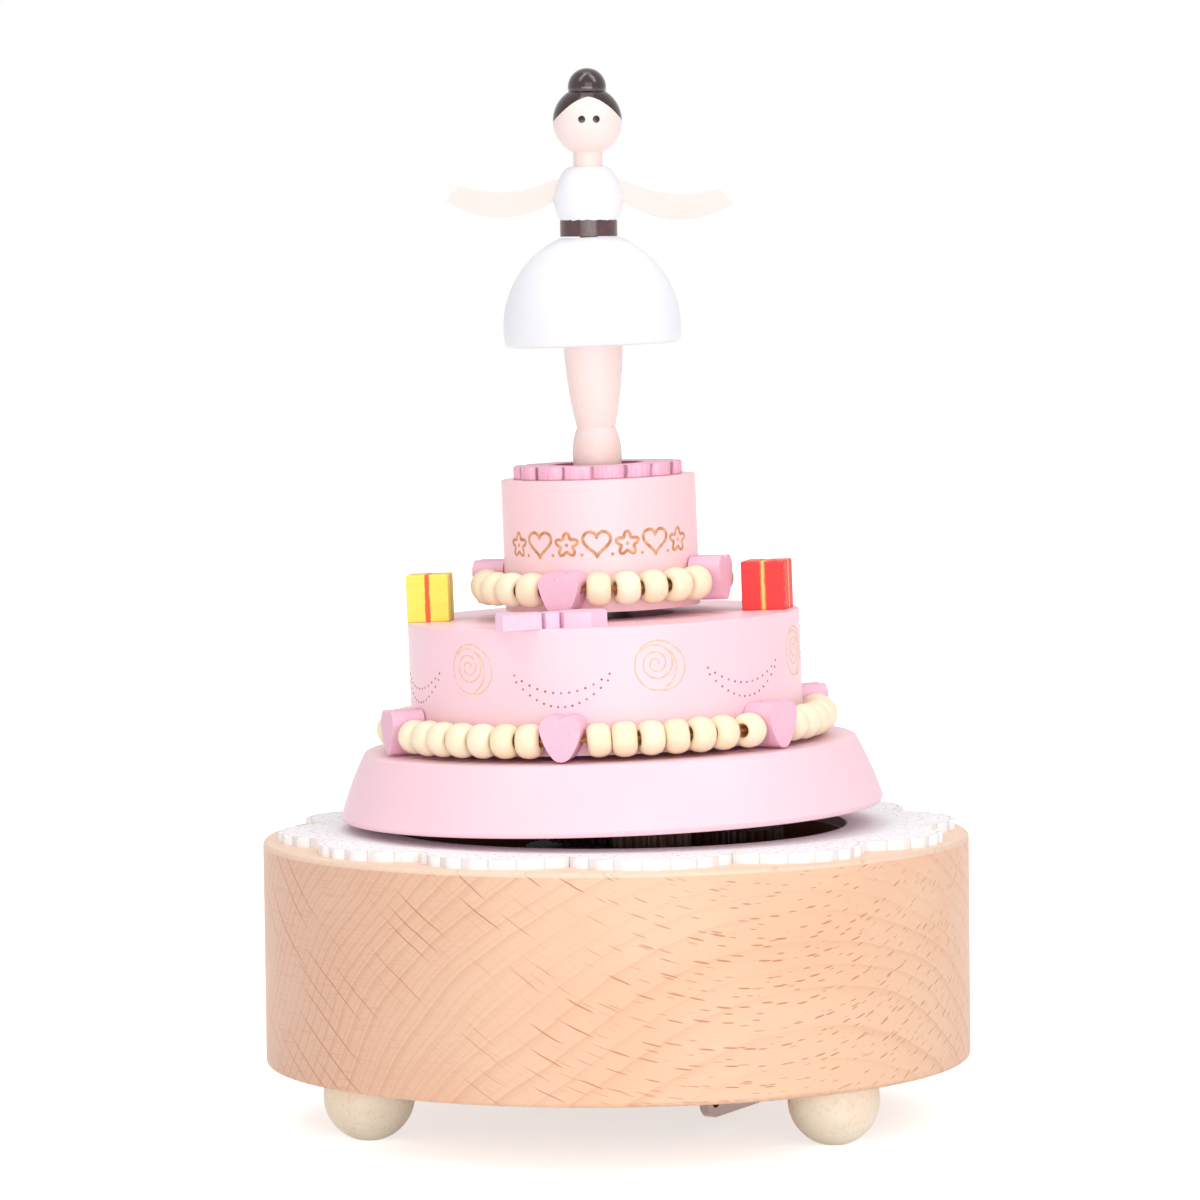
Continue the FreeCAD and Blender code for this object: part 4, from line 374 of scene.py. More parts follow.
def beech():
    """One block of beech: rings round a far pith, and rays that show as dashes, lines or flakes."""
    wood = Finish("beech")
    turn = Euler((0.0, -FIBRE_RISE, FIBRE_TURN))
    pith = turn.to_matrix() @ Vector((0.0, -PITH_FORWARD, -PITH_DOWN))
    fibre = wood.local(wood.place, tuple(pith), tuple(turn))
    along, across, up = wood.axes(fibre)
    along = along + along * along * FIBRE_BOW
    slow = wood.noise(fibre, 0.03, 1.0, (0.25, 1.0, 1.0)) - 0.5
    quick = wood.noise(fibre, 0.35, 2.0, (0.15, 1.0, 1.0)) - 0.5

    # Each ring darkens slowly, then quickly, and ends in a sharp line. Some years are darker than others
    radius = (across * across + up * up) ** 0.5 + slow * RING_WANDER + quick * RING_TREMBLE
    spacing = wood.wander(radius * 0.11)
    rings = radius * radius * RING_CROWDING - radius * RING_BASE + spacing * RING_UNEVEN
    ring = wood.math("FRACT", rings)
    late = wood.ramp(ring, 0.72, 0.97) * wood.ramp(ring, 1.0, 0.965) + wood.ramp(ring, 0.1, 0.95) * 0.3
    year = wood.wander(wood.math("FLOOR", rings) * 7.3)
    late = late * wood.ramp(year, 0.3, 0.65, 0.3, 1.0)

    # End grain, where the surface cuts the fibres: finer rings, darker pores and lines from the lathe
    facing = wood.node("ShaderNodeTexCoord", {}, {}, "Normal")
    fibre_way = turn.to_matrix() @ Vector((1.0, 0.0, 0.0))
    end_grain = abs(wood.node("ShaderNodeVectorMath", {"operation": "DOT_PRODUCT"},
                              {0: facing, 1: tuple(fibre_way)}, "Value"))
    end_share = end_grain ** 3.0
    fine_ring = wood.math("FRACT", rings * 2.0 + 0.4)
    fine_ring = wood.ramp(fine_ring, 0.7, 0.95) * wood.ramp(fine_ring, 1.0, 0.96) * end_share
    x, y, z = wood.axes(wood.place)
    lathe = wood.noise(wood.point(x * 0.12, y * 0.12, z * 3.2), 1.0, 3.0, None, 0.7)
    lathe = wood.ramp(lathe, 0.52, 0.66) * end_share * end_share

    arc = wood.math("ARCTAN2", up, across) * RAY_SHEET_RADIUS + slow * RAY_WANDER + quick * RAY_TREMBLE

    def rays(height, width, depth, pitch_along, pitch_across, scatter):
        """Spindle-shaped sheets that run out from the pith, one in each cell. A pitch is in sheets."""
        cell = (height * pitch_along, width * pitch_across, depth * RAY_PITCH_OUT)
        place = wood.vector("DIVIDE", wood.point(along, arc, radius), cell)
        spread = {"Vector": place, "Scale": 1.0, "Randomness": scatter}
        spot = wood.node("ShaderNodeTexVoronoi", {}, spread, "Position")
        colour = wood.node("ShaderNodeTexVoronoi", {}, spread, "Color")
        off = wood.vector("SUBTRACT", place, spot)
        off = wood.vector("MULTIPLY", off, (cell[0] / height, cell[1] / width, cell[2] / depth))
        strength = wood.ramp(wood.axes(colour)[0], 0.05, 0.5, 0.5, 1.0)
        return wood.ramp(wood.length(off), 1.1, 0.65) * strength

    bold = rays(height=1.3, width=0.115, depth=15.0, pitch_along=2.5, pitch_across=21.0, scatter=0.55)
    more = rays(height=0.9, width=0.095, depth=9.0, pitch_along=2.8, pitch_across=20.0, scatter=0.85)
    bold = wood.larger(bold, more * wood.ramp(along, -40.0, -5.0, 0.12, 0.9))
    faint = rays(height=0.6, width=0.07, depth=4.0, pitch_along=2.6, pitch_across=8.0, scatter=1.0)

    grain = wood.noise(fibre, 1.6, 3.0, (0.08, 1.0, 1.0), 0.6)
    pores = wood.noise(fibre, 6.0, 2.0, (0.12, 1.0, 1.0))
    cloud = wood.noise(fibre, 0.05, 2.0, (0.4, 1.0, 1.0))
    colour = wood.mix(wood.ramp(cloud, 0.35, 0.65), paint(235, 187, 154), paint(238, 196, 164))
    colour = wood.mix(end_share * 0.8, colour, paint(222, 179, 155))
    colour = wood.mix(late * (end_grain * 0.3 + 0.1), colour, paint(206, 142, 104))
    colour = wood.mix(fine_ring * 0.3, colour, paint(196, 134, 104))
    colour = wood.tint(colour, grain, 0.94, 1.05)
    colour = wood.mix(lathe * 0.32, colour, paint(196, 134, 112))
    colour = wood.mix(faint * 0.14, colour, paint(206, 146, 104))
    colour = wood.mix(bold * 0.82, colour, paint(190, 122, 74))

    # The rounded rim is painted paler, as a painted highlight, and the cavity is painted dark brown, as
    # painted shade
    rim = wood.ramp(z, DRUM_TOP - 0.95, DRUM_TOP - 0.65)
    colour = wood.mix(rim * 0.6, colour, paint(247, 222, 200))
    cavity_shade = (wood.length(wood.point(x, y)) < CAVITY_RADIUS + 0.3) * (z > DRUM_FLOOR_TOP - 0.5)
    colour = wood.mix(cavity_shade, colour, wood.tint(paint(136, 74, 46), grain, 0.7, 1.2))
    return wood.wear(colour, wood.ramp(grain, 0.3, 0.7, 0.42, 0.55), pores * 0.25 - bold * 0.4, 0.03)


def turned_wood(name, light, dark):
    """Pale close-grained wood, turned and sanded."""
    wood = Finish(name)
    rings = wood.noise(wood.place, 0.12, 2.0, (0.3, 1.0, 1.0))
    grain = wood.noise(wood.place, 1.1, 3.0, (0.12, 1.0, 1.0), 0.6)
    stripes = wood.math("SINE", rings * 60.0)
    colour = wood.mix(wood.ramp(stripes, -1.0, 1.0), light, dark)
    colour = wood.tint(colour, grain, 0.92, 1.06)
    return wood.wear(colour, 0.5, grain, 0.03)


def speckled_wood(name, light, dark):
    """Pale pored wood under a thin varnish, as turned balls are."""
    wood = Finish(name)
    cloud = wood.noise(wood.place, 0.16, 2.0)
    pores = wood.ramp(wood.noise(wood.place, 1.9, 2.0, (1.0, 1.0, 0.5)), 0.56, 0.68)
    colour = wood.mix(wood.ramp(cloud, 0.35, 0.65), light, dark)
    colour = wood.mix(pores * 0.25, colour, paint(222, 190, 150))
    return wood.wear(colour, 0.5, pores * -1.0, 0.03)


def bead_wood():
    """Waxed bead wood, each bead of its own tone, with painted shade down its bore."""
    wood = Finish("bead_wood")
    tone = wood.node("ShaderNodeAttribute", {"attribute_name": "tone"}, {}, "Fac")
    hole = wood.node("ShaderNodeAttribute", {"attribute_name": "hole"}, {}, "Fac")
    grain = wood.noise(wood.place, 0.9, 3.0, (1.0, 1.0, 0.35), 0.6)
    fleck = wood.ramp(wood.noise(wood.place, 2.4, 2.0, (1.0, 1.0, 0.3)), 0.66, 0.74)
    colour = wood.mix(tone, paint(252, 242, 214), paint(249, 232, 196))
    colour = wood.tint(colour, grain, 0.94, 1.05)
    colour = wood.mix(fleck * 0.25, colour, paint(214, 160, 100))
    # Painted shade down each bead's bore
    colour = wood.mix(hole, colour, paint(212, 150, 92))
    return wood.wear(colour, 0.42, grain, 0.02)


def painted_wood(name, colour, roughness, grain_depth=0.02, blotch=0.02, coat=0.0, squeeze=(1.0, 1.0, 0.25)):
    """Wood under smooth paint, through which the grain still shows as a faint relief."""
    coated = Finish(name, Coat_Weight=coat, Coat_Roughness=0.08)
    grain = coated.noise(coated.place, 1.3, 3.0, squeeze, 0.6)
    soft = coated.noise(coated.place, 0.09, 2.0)
    orange_peel = coated.noise(coated.place, 3.5, 1.0)
    shade = coated.tint(colour, soft, 1.0 - blotch, 1.0 + blotch)
    shade = coated.tint(shade, grain, 0.985, 1.015)
    rough = coated.ramp(orange_peel, 0.3, 0.7, roughness - 0.05, roughness + 0.05)
    return coated.wear(shade, rough, grain * 0.6 + orange_peel * 0.4, grain_depth)


def stained_ply(name, colour, edge):
    """Cut plywood under a matt pink stain: fibre lines, small pits and a rubbed face."""
    ply = Finish(name)
    fibre = ply.noise(ply.place, 1.4, 3.0, (0.25, 1.0, 1.6), 0.65)
    pits = ply.ramp(ply.noise(ply.place, 2.2, 1.0), 0.74, 0.8)
    rubbed = ply.ramp(ply.noise(ply.place, 0.5, 2.0), 0.45, 0.7)
    shade = ply.mix(rubbed * 0.3, colour, edge)
    shade = ply.tint(shade, fibre, 0.95, 1.04)
    shade = ply.mix(pits * 0.35, shade, paint(150, 80, 110))
    return ply.wear(shade, 0.6, fibre - pits * 0.8, 0.04)


def flower_ring_finish():
    """The stained ply of the flower ring, scorched brown where the cutter turned between each two petals, and
    with painted shade towards its middle hole.
    """
    ply = Finish("flower_ring_ply")
    upright = ply.upright()
    x, y, z = ply.axes(upright)
    radius = ply.length(ply.point(x, y))

    # Round the ring counted in petals, whose notches were cut a little unevenly. The whole number added
    # only keeps the count above 0
    petal = ply.math("ARCTAN2", y, x) * (RING_PETALS / math.tau) - RING_DIRECTION / 360 * RING_PETALS
    uneven = ply.noise(ply.point(ply.math("ROUND", petal) * 5.1, 0.0, z * 0.3), 1.0, 0.0)
    petal = petal + (uneven - 0.5) * 0.2
    from_notch = 0.5 - abs(ply.math("FRACT", petal + 40.0) - 0.5)
    off = from_notch * (math.tau / RING_PETALS * RING_RADIUS)
    scorch = ply.ramp(off, 0.5, 0.1) * ply.ramp(radius, RING_RADIUS - 2.0, RING_RADIUS - 1.2)
    scorch = scorch * ply.ramp(ply.wander(ply.math("ROUND", petal) * 3.7), 0.3, 0.6, 0.45, 1.0)
    # The ring is also darker along its bottom edge
    scorch = ply.larger(scorch, ply.ramp(z, RING_BOTTOM + 0.28, RING_BOTTOM + 0.08) * 0.6)

    streaks = ply.noise(upright, 1.6, 3.0, (1.0, 1.0, 0.12), 0.6)
    side = ply.ramp(radius, RING_RADIUS - 1.3, RING_RADIUS - 0.7)
    specks = ply.ramp(ply.noise(upright, 1.6, 1.0), 0.68, 0.76)
    # Painted shade, darker towards and down the wall of the middle hole
    inner = ply.ramp(radius, RING_HOLE_RADIUS + 1.15, RING_HOLE_RADIUS + 0.15)
    shade = ply.mix(ply.ramp(streaks, 0.35, 0.65) * side, paint(250, 196, 216), paint(242, 176, 203))
    shade = ply.mix(specks * 0.4, shade, paint(196, 120, 150))
    shade = ply.mix(inner * 0.75, shade, paint(150, 60, 84))
    shade = ply.mix(scorch * 0.8, shade, paint(92, 48, 58))
    return ply.wear(shade, 0.62, streaks - scorch, 0.05)


def lace_finish():
    """White paint on cut plywood: a speckled top and a clean edge, with painted shade down the notches."""
    ply = Finish("lace_paint")
    x, y, z = ply.axes(ply.vector("SUBTRACT", ply.place, (LACE_SHIFT, 0.0, 0.0)))
    fibre = ply.noise(ply.place, 1.2, 3.0, (0.2, 1.0, 1.0), 0.65)
    pits = ply.ramp(ply.noise(ply.place, 1.7, 2.0), 0.6, 0.72)
    top = ply.ramp(z, LACE_TOP - 0.15, LACE_TOP - 0.02)
    shade = ply.tint(paint(254, 252, 254), fibre, 0.97, 1.03)
    shade = ply.mix(pits * top * 0.34, shade, paint(172, 170, 184))

    # How far out and along from the middle of the nearest lobe. The whole number keeps the count above 0
    lobe_step = math.tau / LACE_LOBES
    turned = (ply.math("ARCTAN2", y, x) - math.radians(LACE_DIRECTION)) / lobe_step + 20.0
    from_lobe = (turned - ply.math("ROUND", turned)) * lobe_step
    reach = ply.length(ply.point(x, y))
    out = reach * ply.math("COSINE", from_lobe) - LACE_LOBE_CIRCLE
    along = reach * ply.math("SINE", from_lobe)

    # The lobe's arc runs from corner to corner and is divided into scallops
    half_step = lobe_step / 2
    chord = LACE_LOBE_CIRCLE * math.sin(half_step)
    corner = LACE_LOBE_CIRCLE * math.cos(half_step) + math.sqrt(LACE_LOBE_RADIUS ** 2 - chord ** 2)
    half_arc = math.atan2(corner * math.sin(half_step), corner * math.cos(half_step) - LACE_LOBE_CIRCLE)
    scallop_angle = 2 * half_arc / LACE_SCALLOPS
    scallop_width = scallop_angle * LACE_LOBE_RADIUS
    scallop = (ply.math("ARCTAN2", along, out) + half_arc) / scallop_angle
    off = abs(scallop - ply.math("ROUND", scallop)) * scallop_width
    edge = ply.ramp(ply.length(ply.point(out, along)), LACE_LOBE_RADIUS - 0.7, LACE_LOBE_RADIUS - 0.2)
    notch_shade = ply.ramp(off, 0.3, 0.05) * edge
    bulge = ply.ramp(off, 0.0, scallop_width / 2) * edge
    hole_wall = ply.ramp(reach, LACE_HOLE_RADIUS + 0.5, LACE_HOLE_RADIUS + 0.05)
    # Painted shade, grey down the notches between the scallops
    shade = ply.mix(notch_shade * 0.36, shade, paint(150, 146, 156))
    shade = ply.mix(hole_wall * 0.85, shade, paint(150, 128, 118))
    return ply.wear(shade, 0.62, fibre - pits + bulge * 9.0, 0.05)


# Finishes of the painted figure and the gifts


DARK_BROWN = paint(46, 18, 20)
EYE_ACROSS = 1.23
EYE_HEIGHT = 0.15
EYE_RADIUS = 0.61


def head_finish():
    """Skin paint, a glossy hair cap whose line peaks over the face, and two painted eyes."""
    low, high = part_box("dancer_head")
    centre = ((low[0] + high[0]) / 2 / MM, (low[1] + high[1]) / 2 / MM, high[2] / MM - HEAD_RADIUS)
    head = Finish("head_paint")
    place = head.local(head.place, centre, (0.0, 0.0, math.radians(3)))
    x, y, z = head.axes(place)
    side = abs(x)
    hairline = 4.0 - side * 0.2 - side * side * 0.085 - head.larger(y, 0.0) * 1.1
    wave = (head.noise(place, 0.9, 1.0) - 0.5) * 0.12
    dark = head.ramp(z - hairline + wave, -0.04, 0.04)
    for across in (-EYE_ACROSS, EYE_ACROSS):
        spot = (across, -math.sqrt(HEAD_RADIUS ** 2 - across ** 2 - EYE_HEIGHT ** 2), EYE_HEIGHT)
        from_eye = head.length(head.vector("SUBTRACT", place, spot))
        dark = head.ramp(from_eye, EYE_RADIUS + 0.05, EYE_RADIUS - 0.05) + dark
    dark = head.smaller(dark, 1.0)
    soft = head.noise(place, 0.3, 2.0)
    brush = head.noise(place, 2.2, 2.0, (1.0, 1.0, 0.3))
    skin = head.tint(paint(247, 227, 222), soft, 0.98, 1.02)
    chin = head.ramp(z, -2.0, -5.0)
    skin = head.mix(chin * 0.3, skin, paint(252, 220, 208))
    hair = head.tint(DARK_BROWN, brush, 0.7, 1.4)
    gloss = head.ramp(dark, 0.0, 1.0, 0.42, 0.16)
    return head.wear(head.mix(dark, skin, hair), gloss, dark * 2.0 + brush * 0.3, 0.05)


def torso_finish():
    """White paint with a glossy brown belt, whose edges waver as a brush leaves them."""
    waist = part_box("dancer_torso")[0][2] / MM
    torso = Finish("torso_paint")
    z = torso.axes(torso.place)[2] - waist
    wave = (torso.noise(torso.place, 0.9, 2.0, (1.0, 1.0, 0.0)) - 0.5) * 0.55
    belt = torso.ramp(z + wave, 2.78, 2.7)
    brush = torso.noise(torso.place, 1.1, 3.0, (1.0, 1.0, 0.5), 0.65)
    grain = torso.noise(torso.place, 1.4, 3.0, (1.0, 1.0, 0.3))
    white = torso.tint(paint(241, 240, 246), grain, 0.98, 1.02)
    brown = torso.tint(paint(82, 52, 54), brush, 0.6, 1.45)
    gloss = torso.ramp(belt, 0.0, 1.0, 0.4, 0.2)
    return torso.wear(torso.mix(belt, white, brown), gloss, belt * 2.0 + brush * belt + grain * 0.4, 0.05)


def legs_finish():
    """Skin paint with a few specks that the brush left on the shin."""
    legs = Finish("leg_paint")
    grain = legs.noise(legs.place, 1.2, 3.0, (1.0, 1.0, 0.25), 0.6)
    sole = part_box("dancer_legs")[0][2] / MM
    z = legs.axes(legs.place)[2] - sole
    shin = legs.ramp(z, 6.0, 9.0) * legs.ramp(z, 16.0, 12.0)
    specks = legs.ramp(legs.noise(legs.place, 1.9, 1.0), 0.75, 0.79) * shin
    ankle = legs.ramp(z, 7.0, 5.0)
    skin = legs.tint(paint(250, 228, 221), grain, 0.975, 1.02)
    skin = legs.mix(ankle * 0.4, skin, paint(251, 220, 206))
    return legs.wear(legs.mix(specks * 0.7, skin, paint(190, 130, 110)), 0.4, grain, 0.03)


def gift_finish(name, across, front, turn, side, height, wrap, ribbon, ribbon_edge, ribbon_half):
    """A painted block with a ribbon painted round it both ways, and paint worn thin along its edges."""
    gift = Finish(name)
    middle = (across, front, MIDDLE_TOP + height / 2)
    place = gift.local(gift.upright(), middle, (0.0, 0.0, math.radians(turn)))
    x, y, z = gift.axes(place)
    ripple = (gift.noise(place, 0.8, 2.0) - 0.5) * 0.35
    from_ribbon = gift.smaller(abs(x + ripple), abs(y + ripple))
    band = gift.ramp(from_ribbon, ribbon_half + 0.06, ribbon_half - 0.06)
    core = gift.ramp(from_ribbon, ribbon_half * 0.6, ribbon_half * 0.4)
    edges = [gift.ramp(abs(axis), half - 0.2, half - 0.04)
             for axis, half in ((x, side / 2), (y, side / 2), (z, height / 2))]
    corner = gift.larger(gift.larger(edges[0] * edges[1], edges[1] * edges[2]), edges[0] * edges[2])
    scuff = corner * gift.ramp(gift.noise(place, 1.1, 3.0, None, 0.7), 0.52, 0.62)
    grain = gift.noise(place, 1.2, 3.0, (0.2, 1.0, 1.0), 0.65)
    shade = gift.tint(wrap, grain, 0.9, 1.07)
    shade = gift.mix(band, shade, ribbon_edge)
    shade = gift.mix(core, shade, ribbon)
    worn = (*(0.35 * part + 0.6 for part in wrap[:3]), 1.0)
    shade = gift.mix(scuff * 0.6, shade, worn)
    return gift.wear(shade, 0.55, grain - scuff + band * 0.7, 0.04)


# Finishes of metal, moulded parts, string and burnt lines


def metal(name, colour, roughness, cast=False):
    """Drawn, plated or die-cast metal with the marks of its making."""
    plate = Finish(name)
    scale, squeeze, depth = (1.4, None, 0.04) if cast else (2.6, (1.0, 1.0, 0.1), 0.008)
    marks = plate.noise(plate.place, scale, 3.0, squeeze, 0.6)
    smudge = plate.noise(plate.place, 0.25, 2.0)
    shade = plate.tint(colour, marks, 0.86, 1.08)
    rough = plate.ramp(smudge, 0.3, 0.7, roughness - 0.06, roughness + 0.08)
    return plate.wear(shade, rough, marks, depth, metallic=1.0)


def moulded(name, colour, shine=0.5):
    """Injection-moulded plastic with a fine even skin."""
    skin = Finish(name, Specular_IOR_Level=shine)
    fine = skin.noise(skin.place, 4.5, 2.0)
    slow = skin.noise(skin.place, 0.3, 1.0)
    shade = skin.tint(colour, slow, 0.94, 1.06)
    return skin.wear(shade, skin.ramp(fine, 0.3, 0.7, 0.42, 0.55), fine, 0.01)


def thread():
    """Twisted cotton thread, its strands slanting as they go round the tier."""
    cotton = Finish("thread")
    x, y, z = cotton.axes(cotton.upright())
    strands_round, strands_up = 260.0, 9.0
    twist = cotton.math("SINE", cotton.math("ARCTAN2", y, x) * strands_round + z * strands_up)
    shade = cotton.mix(cotton.ramp(twist, -1.0, 1.0), paint(176, 112, 58), paint(214, 158, 96))
    return cotton.wear(shade, 0.85, twist, 0.05)


def scorched(name, core, edge):
    """The brown line that a laser burns into paint, uneven along its way."""
    line = Finish(name)
    uneven = line.noise(line.place, 0.9, 3.0, None, 0.7)
    fine = line.noise(line.place, 4.0, 2.0)
    shade = line.mix(line.ramp(uneven, 0.38, 0.62), core, edge)
    return line.wear(line.tint(shade, fine, 0.85, 1.12), 0.75, fine, 0.02)


pink_paint = painted_wood("pink_paint", paint(252, 210, 221), 0.4)
upper_pink_paint = painted_wood("upper_pink_paint", paint(252, 210, 215), 0.4)
heart_ply = stained_ply("heart_ply", paint(243, 192, 212), paint(247, 202, 220))
bow_ply = stained_ply("bow_ply", paint(243, 203, 223), paint(247, 214, 230))
arm_paint = painted_wood("arm_paint", paint(234, 217, 211), 0.45, grain_depth=0.03, squeeze=(0.25, 1.0, 1.0))
dress_paint = painted_wood("dress_paint", paint(241, 241, 247), 0.42, grain_depth=0.04)
hair_gloss = painted_wood("hair_gloss", DARK_BROWN, 0.14, grain_depth=0.05, blotch=0.25, coat=0.4)
steel = metal("drawn_steel", paint(196, 196, 200), 0.3)
nickel = metal("nickel_plate", paint(170, 152, 146), 0.16)
blued = metal("spring_steel", paint(96, 84, 84), 0.35)
zinc = metal("cast_zinc", paint(176, 178, 182), 0.42, cast=True)
brass = metal("brass", paint(226, 190, 110), 0.28)
grey_nylon = moulded("grey_nylon", paint(168, 168, 172))
black_nylon = moulded("black_nylon", paint(38, 38, 40))
# The gears seen in the gap under the cake board get dark browns, as painted shade
oiled_nylon = moulded("oiled_nylon", paint(60, 33, 25), shine=0.2)
brown_nylon = moulded("brown_nylon", paint(100, 72, 62), shine=0.3)
cotton = thread()

# What isn't named here is drawn steel
FINISHES = {
    "base_drum": beech(),
    "lace_doily": lace_finish(),
    "feet": speckled_wood("foot_wood", paint(255, 246, 228), paint(252, 238, 216)),
    "cake_board": pink_paint,
    "middle_tier": pink_paint,
    "tier_spacer": turned_wood("spacer_wood", paint(236, 206, 164), paint(222, 186, 142)),
    "upper_tier": upper_pink_paint,
    "lower_hearts": heart_ply,
    "upper_hearts": heart_ply,
    "flower_ring": flower_ring_finish(),
    "bow": bow_ply,
    "lower_string": cotton,
    "upper_string": cotton,
    "yellow_gift": gift_finish("yellow_gift_paint", across=-29.3, front=0.0, turn=-5.5, side=7.2, height=8.0,
                               wrap=paint(243, 229, 92), ribbon=paint(236, 92, 38),
                               ribbon_edge=paint(236, 104, 44), ribbon_half=0.42),
    "red_gift": gift_finish("red_gift_paint", across=27.9, front=-2.0, turn=-12.0, side=7.5, height=8.3,
                            wrap=paint(241, 55, 54), ribbon=paint(250, 206, 118),
                            ribbon_edge=paint(214, 128, 60), ribbon_half=0.46),
    "dancer_legs": legs_finish(),
    "dancer_skirt": dress_paint,
    "dancer_torso": torso_finish(),
    "dancer_arms": arm_paint,
    "dancer_head": head_finish(),
    "hair_bun": hair_gloss,
    "waist_pin": turned_wood("dowel_wood", paint(232, 204, 160), paint(214, 180, 132)),
    "winding_key": nickel,
    "mainspring": blued,
    "movement_bedplate": zinc,
    "gear_deck": zinc,
    "deck_pillars": zinc,
    "pin_cylinder": brass,
    "cylinder_pinion": brass,
    "cylinder_wheel": brass,
    "governor_wheel": brass,
    "crown_wheel": brass,
    "spindle_bush": brass,
    "tier_tube": blued,
    "cake_hub": grey_nylon,
    # Painted shade: these gears sit in the dark gap under the board
    "cake_gear": oiled_nylon,
    "tier_gear": grey_nylon,
    "dancer_gear": grey_nylon,
    "idler_gear": brown_nylon,
    "cake_drive_pinion": oiled_nylon,
    "tier_drive_pinion": grey_nylon,
    "dancer_drive_pinion": grey_nylon,
    "worm_and_fly": black_nylon,
}
for name, node in frame["nodes"].items():
    node.data.materials.clear()
    node.data.materials.append(FINISHES.get(name, steel))


# Strings of beads


BEAD_WOOD = bead_wood()
BEAD_SIDES = 24
BEAD_BANDS = 8

# A string runs so high over its hearts' tips, and they clear the board or tier below them
HEART_STRING_HEIGHT = 3.3
HEART_CLEARANCE = 0.3
STRING_OVER_GROUND = HEART_CLEARANCE + HEART_STRING_HEIGHT
UPPER_STRING_LIFT = 0.5

# How much the beads of a string differ: in place and tilt, in radians, and in size
BEAD_WANDER = 0.002
BEAD_TILT = (0.07, 0.6, 0.11)
BEAD_SMALLEST = (0.96, 0.97, 0.95)
BEAD_LARGEST = (1.0, 1.02, 1.0)

# One bead has worked loose: it stands out askew, and those before it are pushed closer together
LOOSE_BEAD_OUT = 0.5
LOOSE_BEAD_TURN = math.radians(22)
LOOSE_BEAD_PUSH = 0.1


def bead_mesh():
    """One bead with its bore along Y, and a point attribute that marks the bore for painted shade, full deep
    down and less at its lip.
    """
    half = BEAD_LENGTH / 2
    bore = [(BEAD_HOLE_RADIUS, half * 0.92, 1.0), (BEAD_HOLE_RADIUS + 0.12, half, 0.6),
            (BEAD_FACE_RADIUS, half, 0.0)]
    profile = [(radius, -along, mark) for radius, along, mark in bore]
    for band in range(1, BEAD_BANDS):
        angle = math.pi * band / BEAD_BANDS
        belly = BEAD_FACE_RADIUS + (BEAD_RADIUS - BEAD_FACE_RADIUS) * math.sin(angle) ** 0.75
        profile.append((belly, -half * math.cos(angle), 0.0))
    profile += reversed(bore)
    points = []
    marks = []
    for side in range(BEAD_SIDES):
        angle = math.tau * side / BEAD_SIDES
        for radius, along, mark in profile:
            points.append((radius * math.cos(angle) * MM, along * MM, radius * math.sin(angle) * MM))
            marks.append(mark)
    count = len(profile)
    faces = []
    for side in range(BEAD_SIDES):
        here = side * count
        there = (side + 1) % BEAD_SIDES * count
        for row in range(count):
            after = (row + 1) % count
            faces.append((here + row, here + after, there + after, there + row))
    mesh = bpy.data.meshes.new("bead")
    mesh.from_pydata(points, [], faces)
    layer = mesh.attributes.new("hole", "FLOAT", "POINT")
    layer.data.foreach_set("value", marks)
    mesh.polygons.foreach_set("use_smooth", [True] * len(faces))
    return bpy.data.objects.new("bead", mesh)


def bead_string(name, tier_radius, height, start, hearts, beads_between, seed, body, replaced, loose_bead=-1):
    """All the beads of one tier in one mesh, each a little different in size, tilt and tone."""
    circle = tier_radius + BEAD_RADIUS
    shape = Shape(name, hearts=hearts, beads_between=beads_between, circle=circle * MM, height=height * MM,
                  start=math.radians(start), heart_spread=(HEART_WIDTH + HEART_GAP) / circle, seed=seed,
                  loose_bead=loose_bead, bead=bead_mesh())

    # Each bead's group between two hearts, its place in the group, and so its angle
    index = shape.index()
    group = shape.math("FLOOR", index / shape.beads_between)
    place = index - group * shape.beads_between
    heart_step = math.tau / shape.hearts
    bead_step = (heart_step - shape.heart_spread) / shape.beads_between
    angle = shape.start + heart_step * group + shape.heart_spread * 0.5 + bead_step * (place + 0.5)
    angle = angle + shape.random(-BEAD_WANDER, BEAD_WANDER, shape.seed)
    loose = shape.math("COMPARE", index, shape.loose_bead)
    pushed = (shape.loose_bead > index) * (shape.loose_bead > 0.0) * (group < 1.0) * (place + 0.5)
    angle = angle - pushed * (LOOSE_BEAD_PUSH * MM) / shape.circle
    reach = shape.circle + loose * (LOOSE_BEAD_OUT * MM)
    points = shape.points(shape.hearts * shape.beads_between, shape.around(reach, angle, shape.height))

    tilt = shape.random(tuple(-most for most in BEAD_TILT), BEAD_TILT, shape.seed + 1.0)
    size = shape.random(BEAD_SMALLEST, BEAD_LARGEST, shape.seed + 2.0)
    tone = shape.random(0.0, 1.0, shape.seed + 3.0)
    turn = shape.vector("ADD", tilt, shape.point(0.0, 0.0, angle + loose * LOOSE_BEAD_TURN))
    piece = shape.node("GeometryNodeObjectInfo", {"transform_space": "ORIGINAL"}, {"Object": shape.bead},
                       "Geometry")
    strung = shape.copies(points, piece, turn, size)
    strung = shape.node("GeometryNodeStoreNamedAttribute", {"data_type": "FLOAT", "domain": "INSTANCE"},
                        {"Geometry": strung, "Name": "tone", "Value": tone})
    beads = shape.make(shape.leaned(strung), BEAD_WOOD)
    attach(beads, body)
    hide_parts(replaced)


bead_string("lower_bead_row", tier_radius=MIDDLE_RADIUS, height=BOARD_TOP + STRING_OVER_GROUND, start=258.6,
            hearts=6, beads_between=7, seed=11, body="lower_cake", replaced="lower_beads", loose_bead=6)
bead_string("upper_bead_row", tier_radius=UPPER_RADIUS,
            height=UPPER_BOTTOM + UPPER_STRING_LIFT + STRING_OVER_GROUND, start=250.8,
            hearts=4, beads_between=5, seed=23, body="top_tier", replaced="upper_beads")


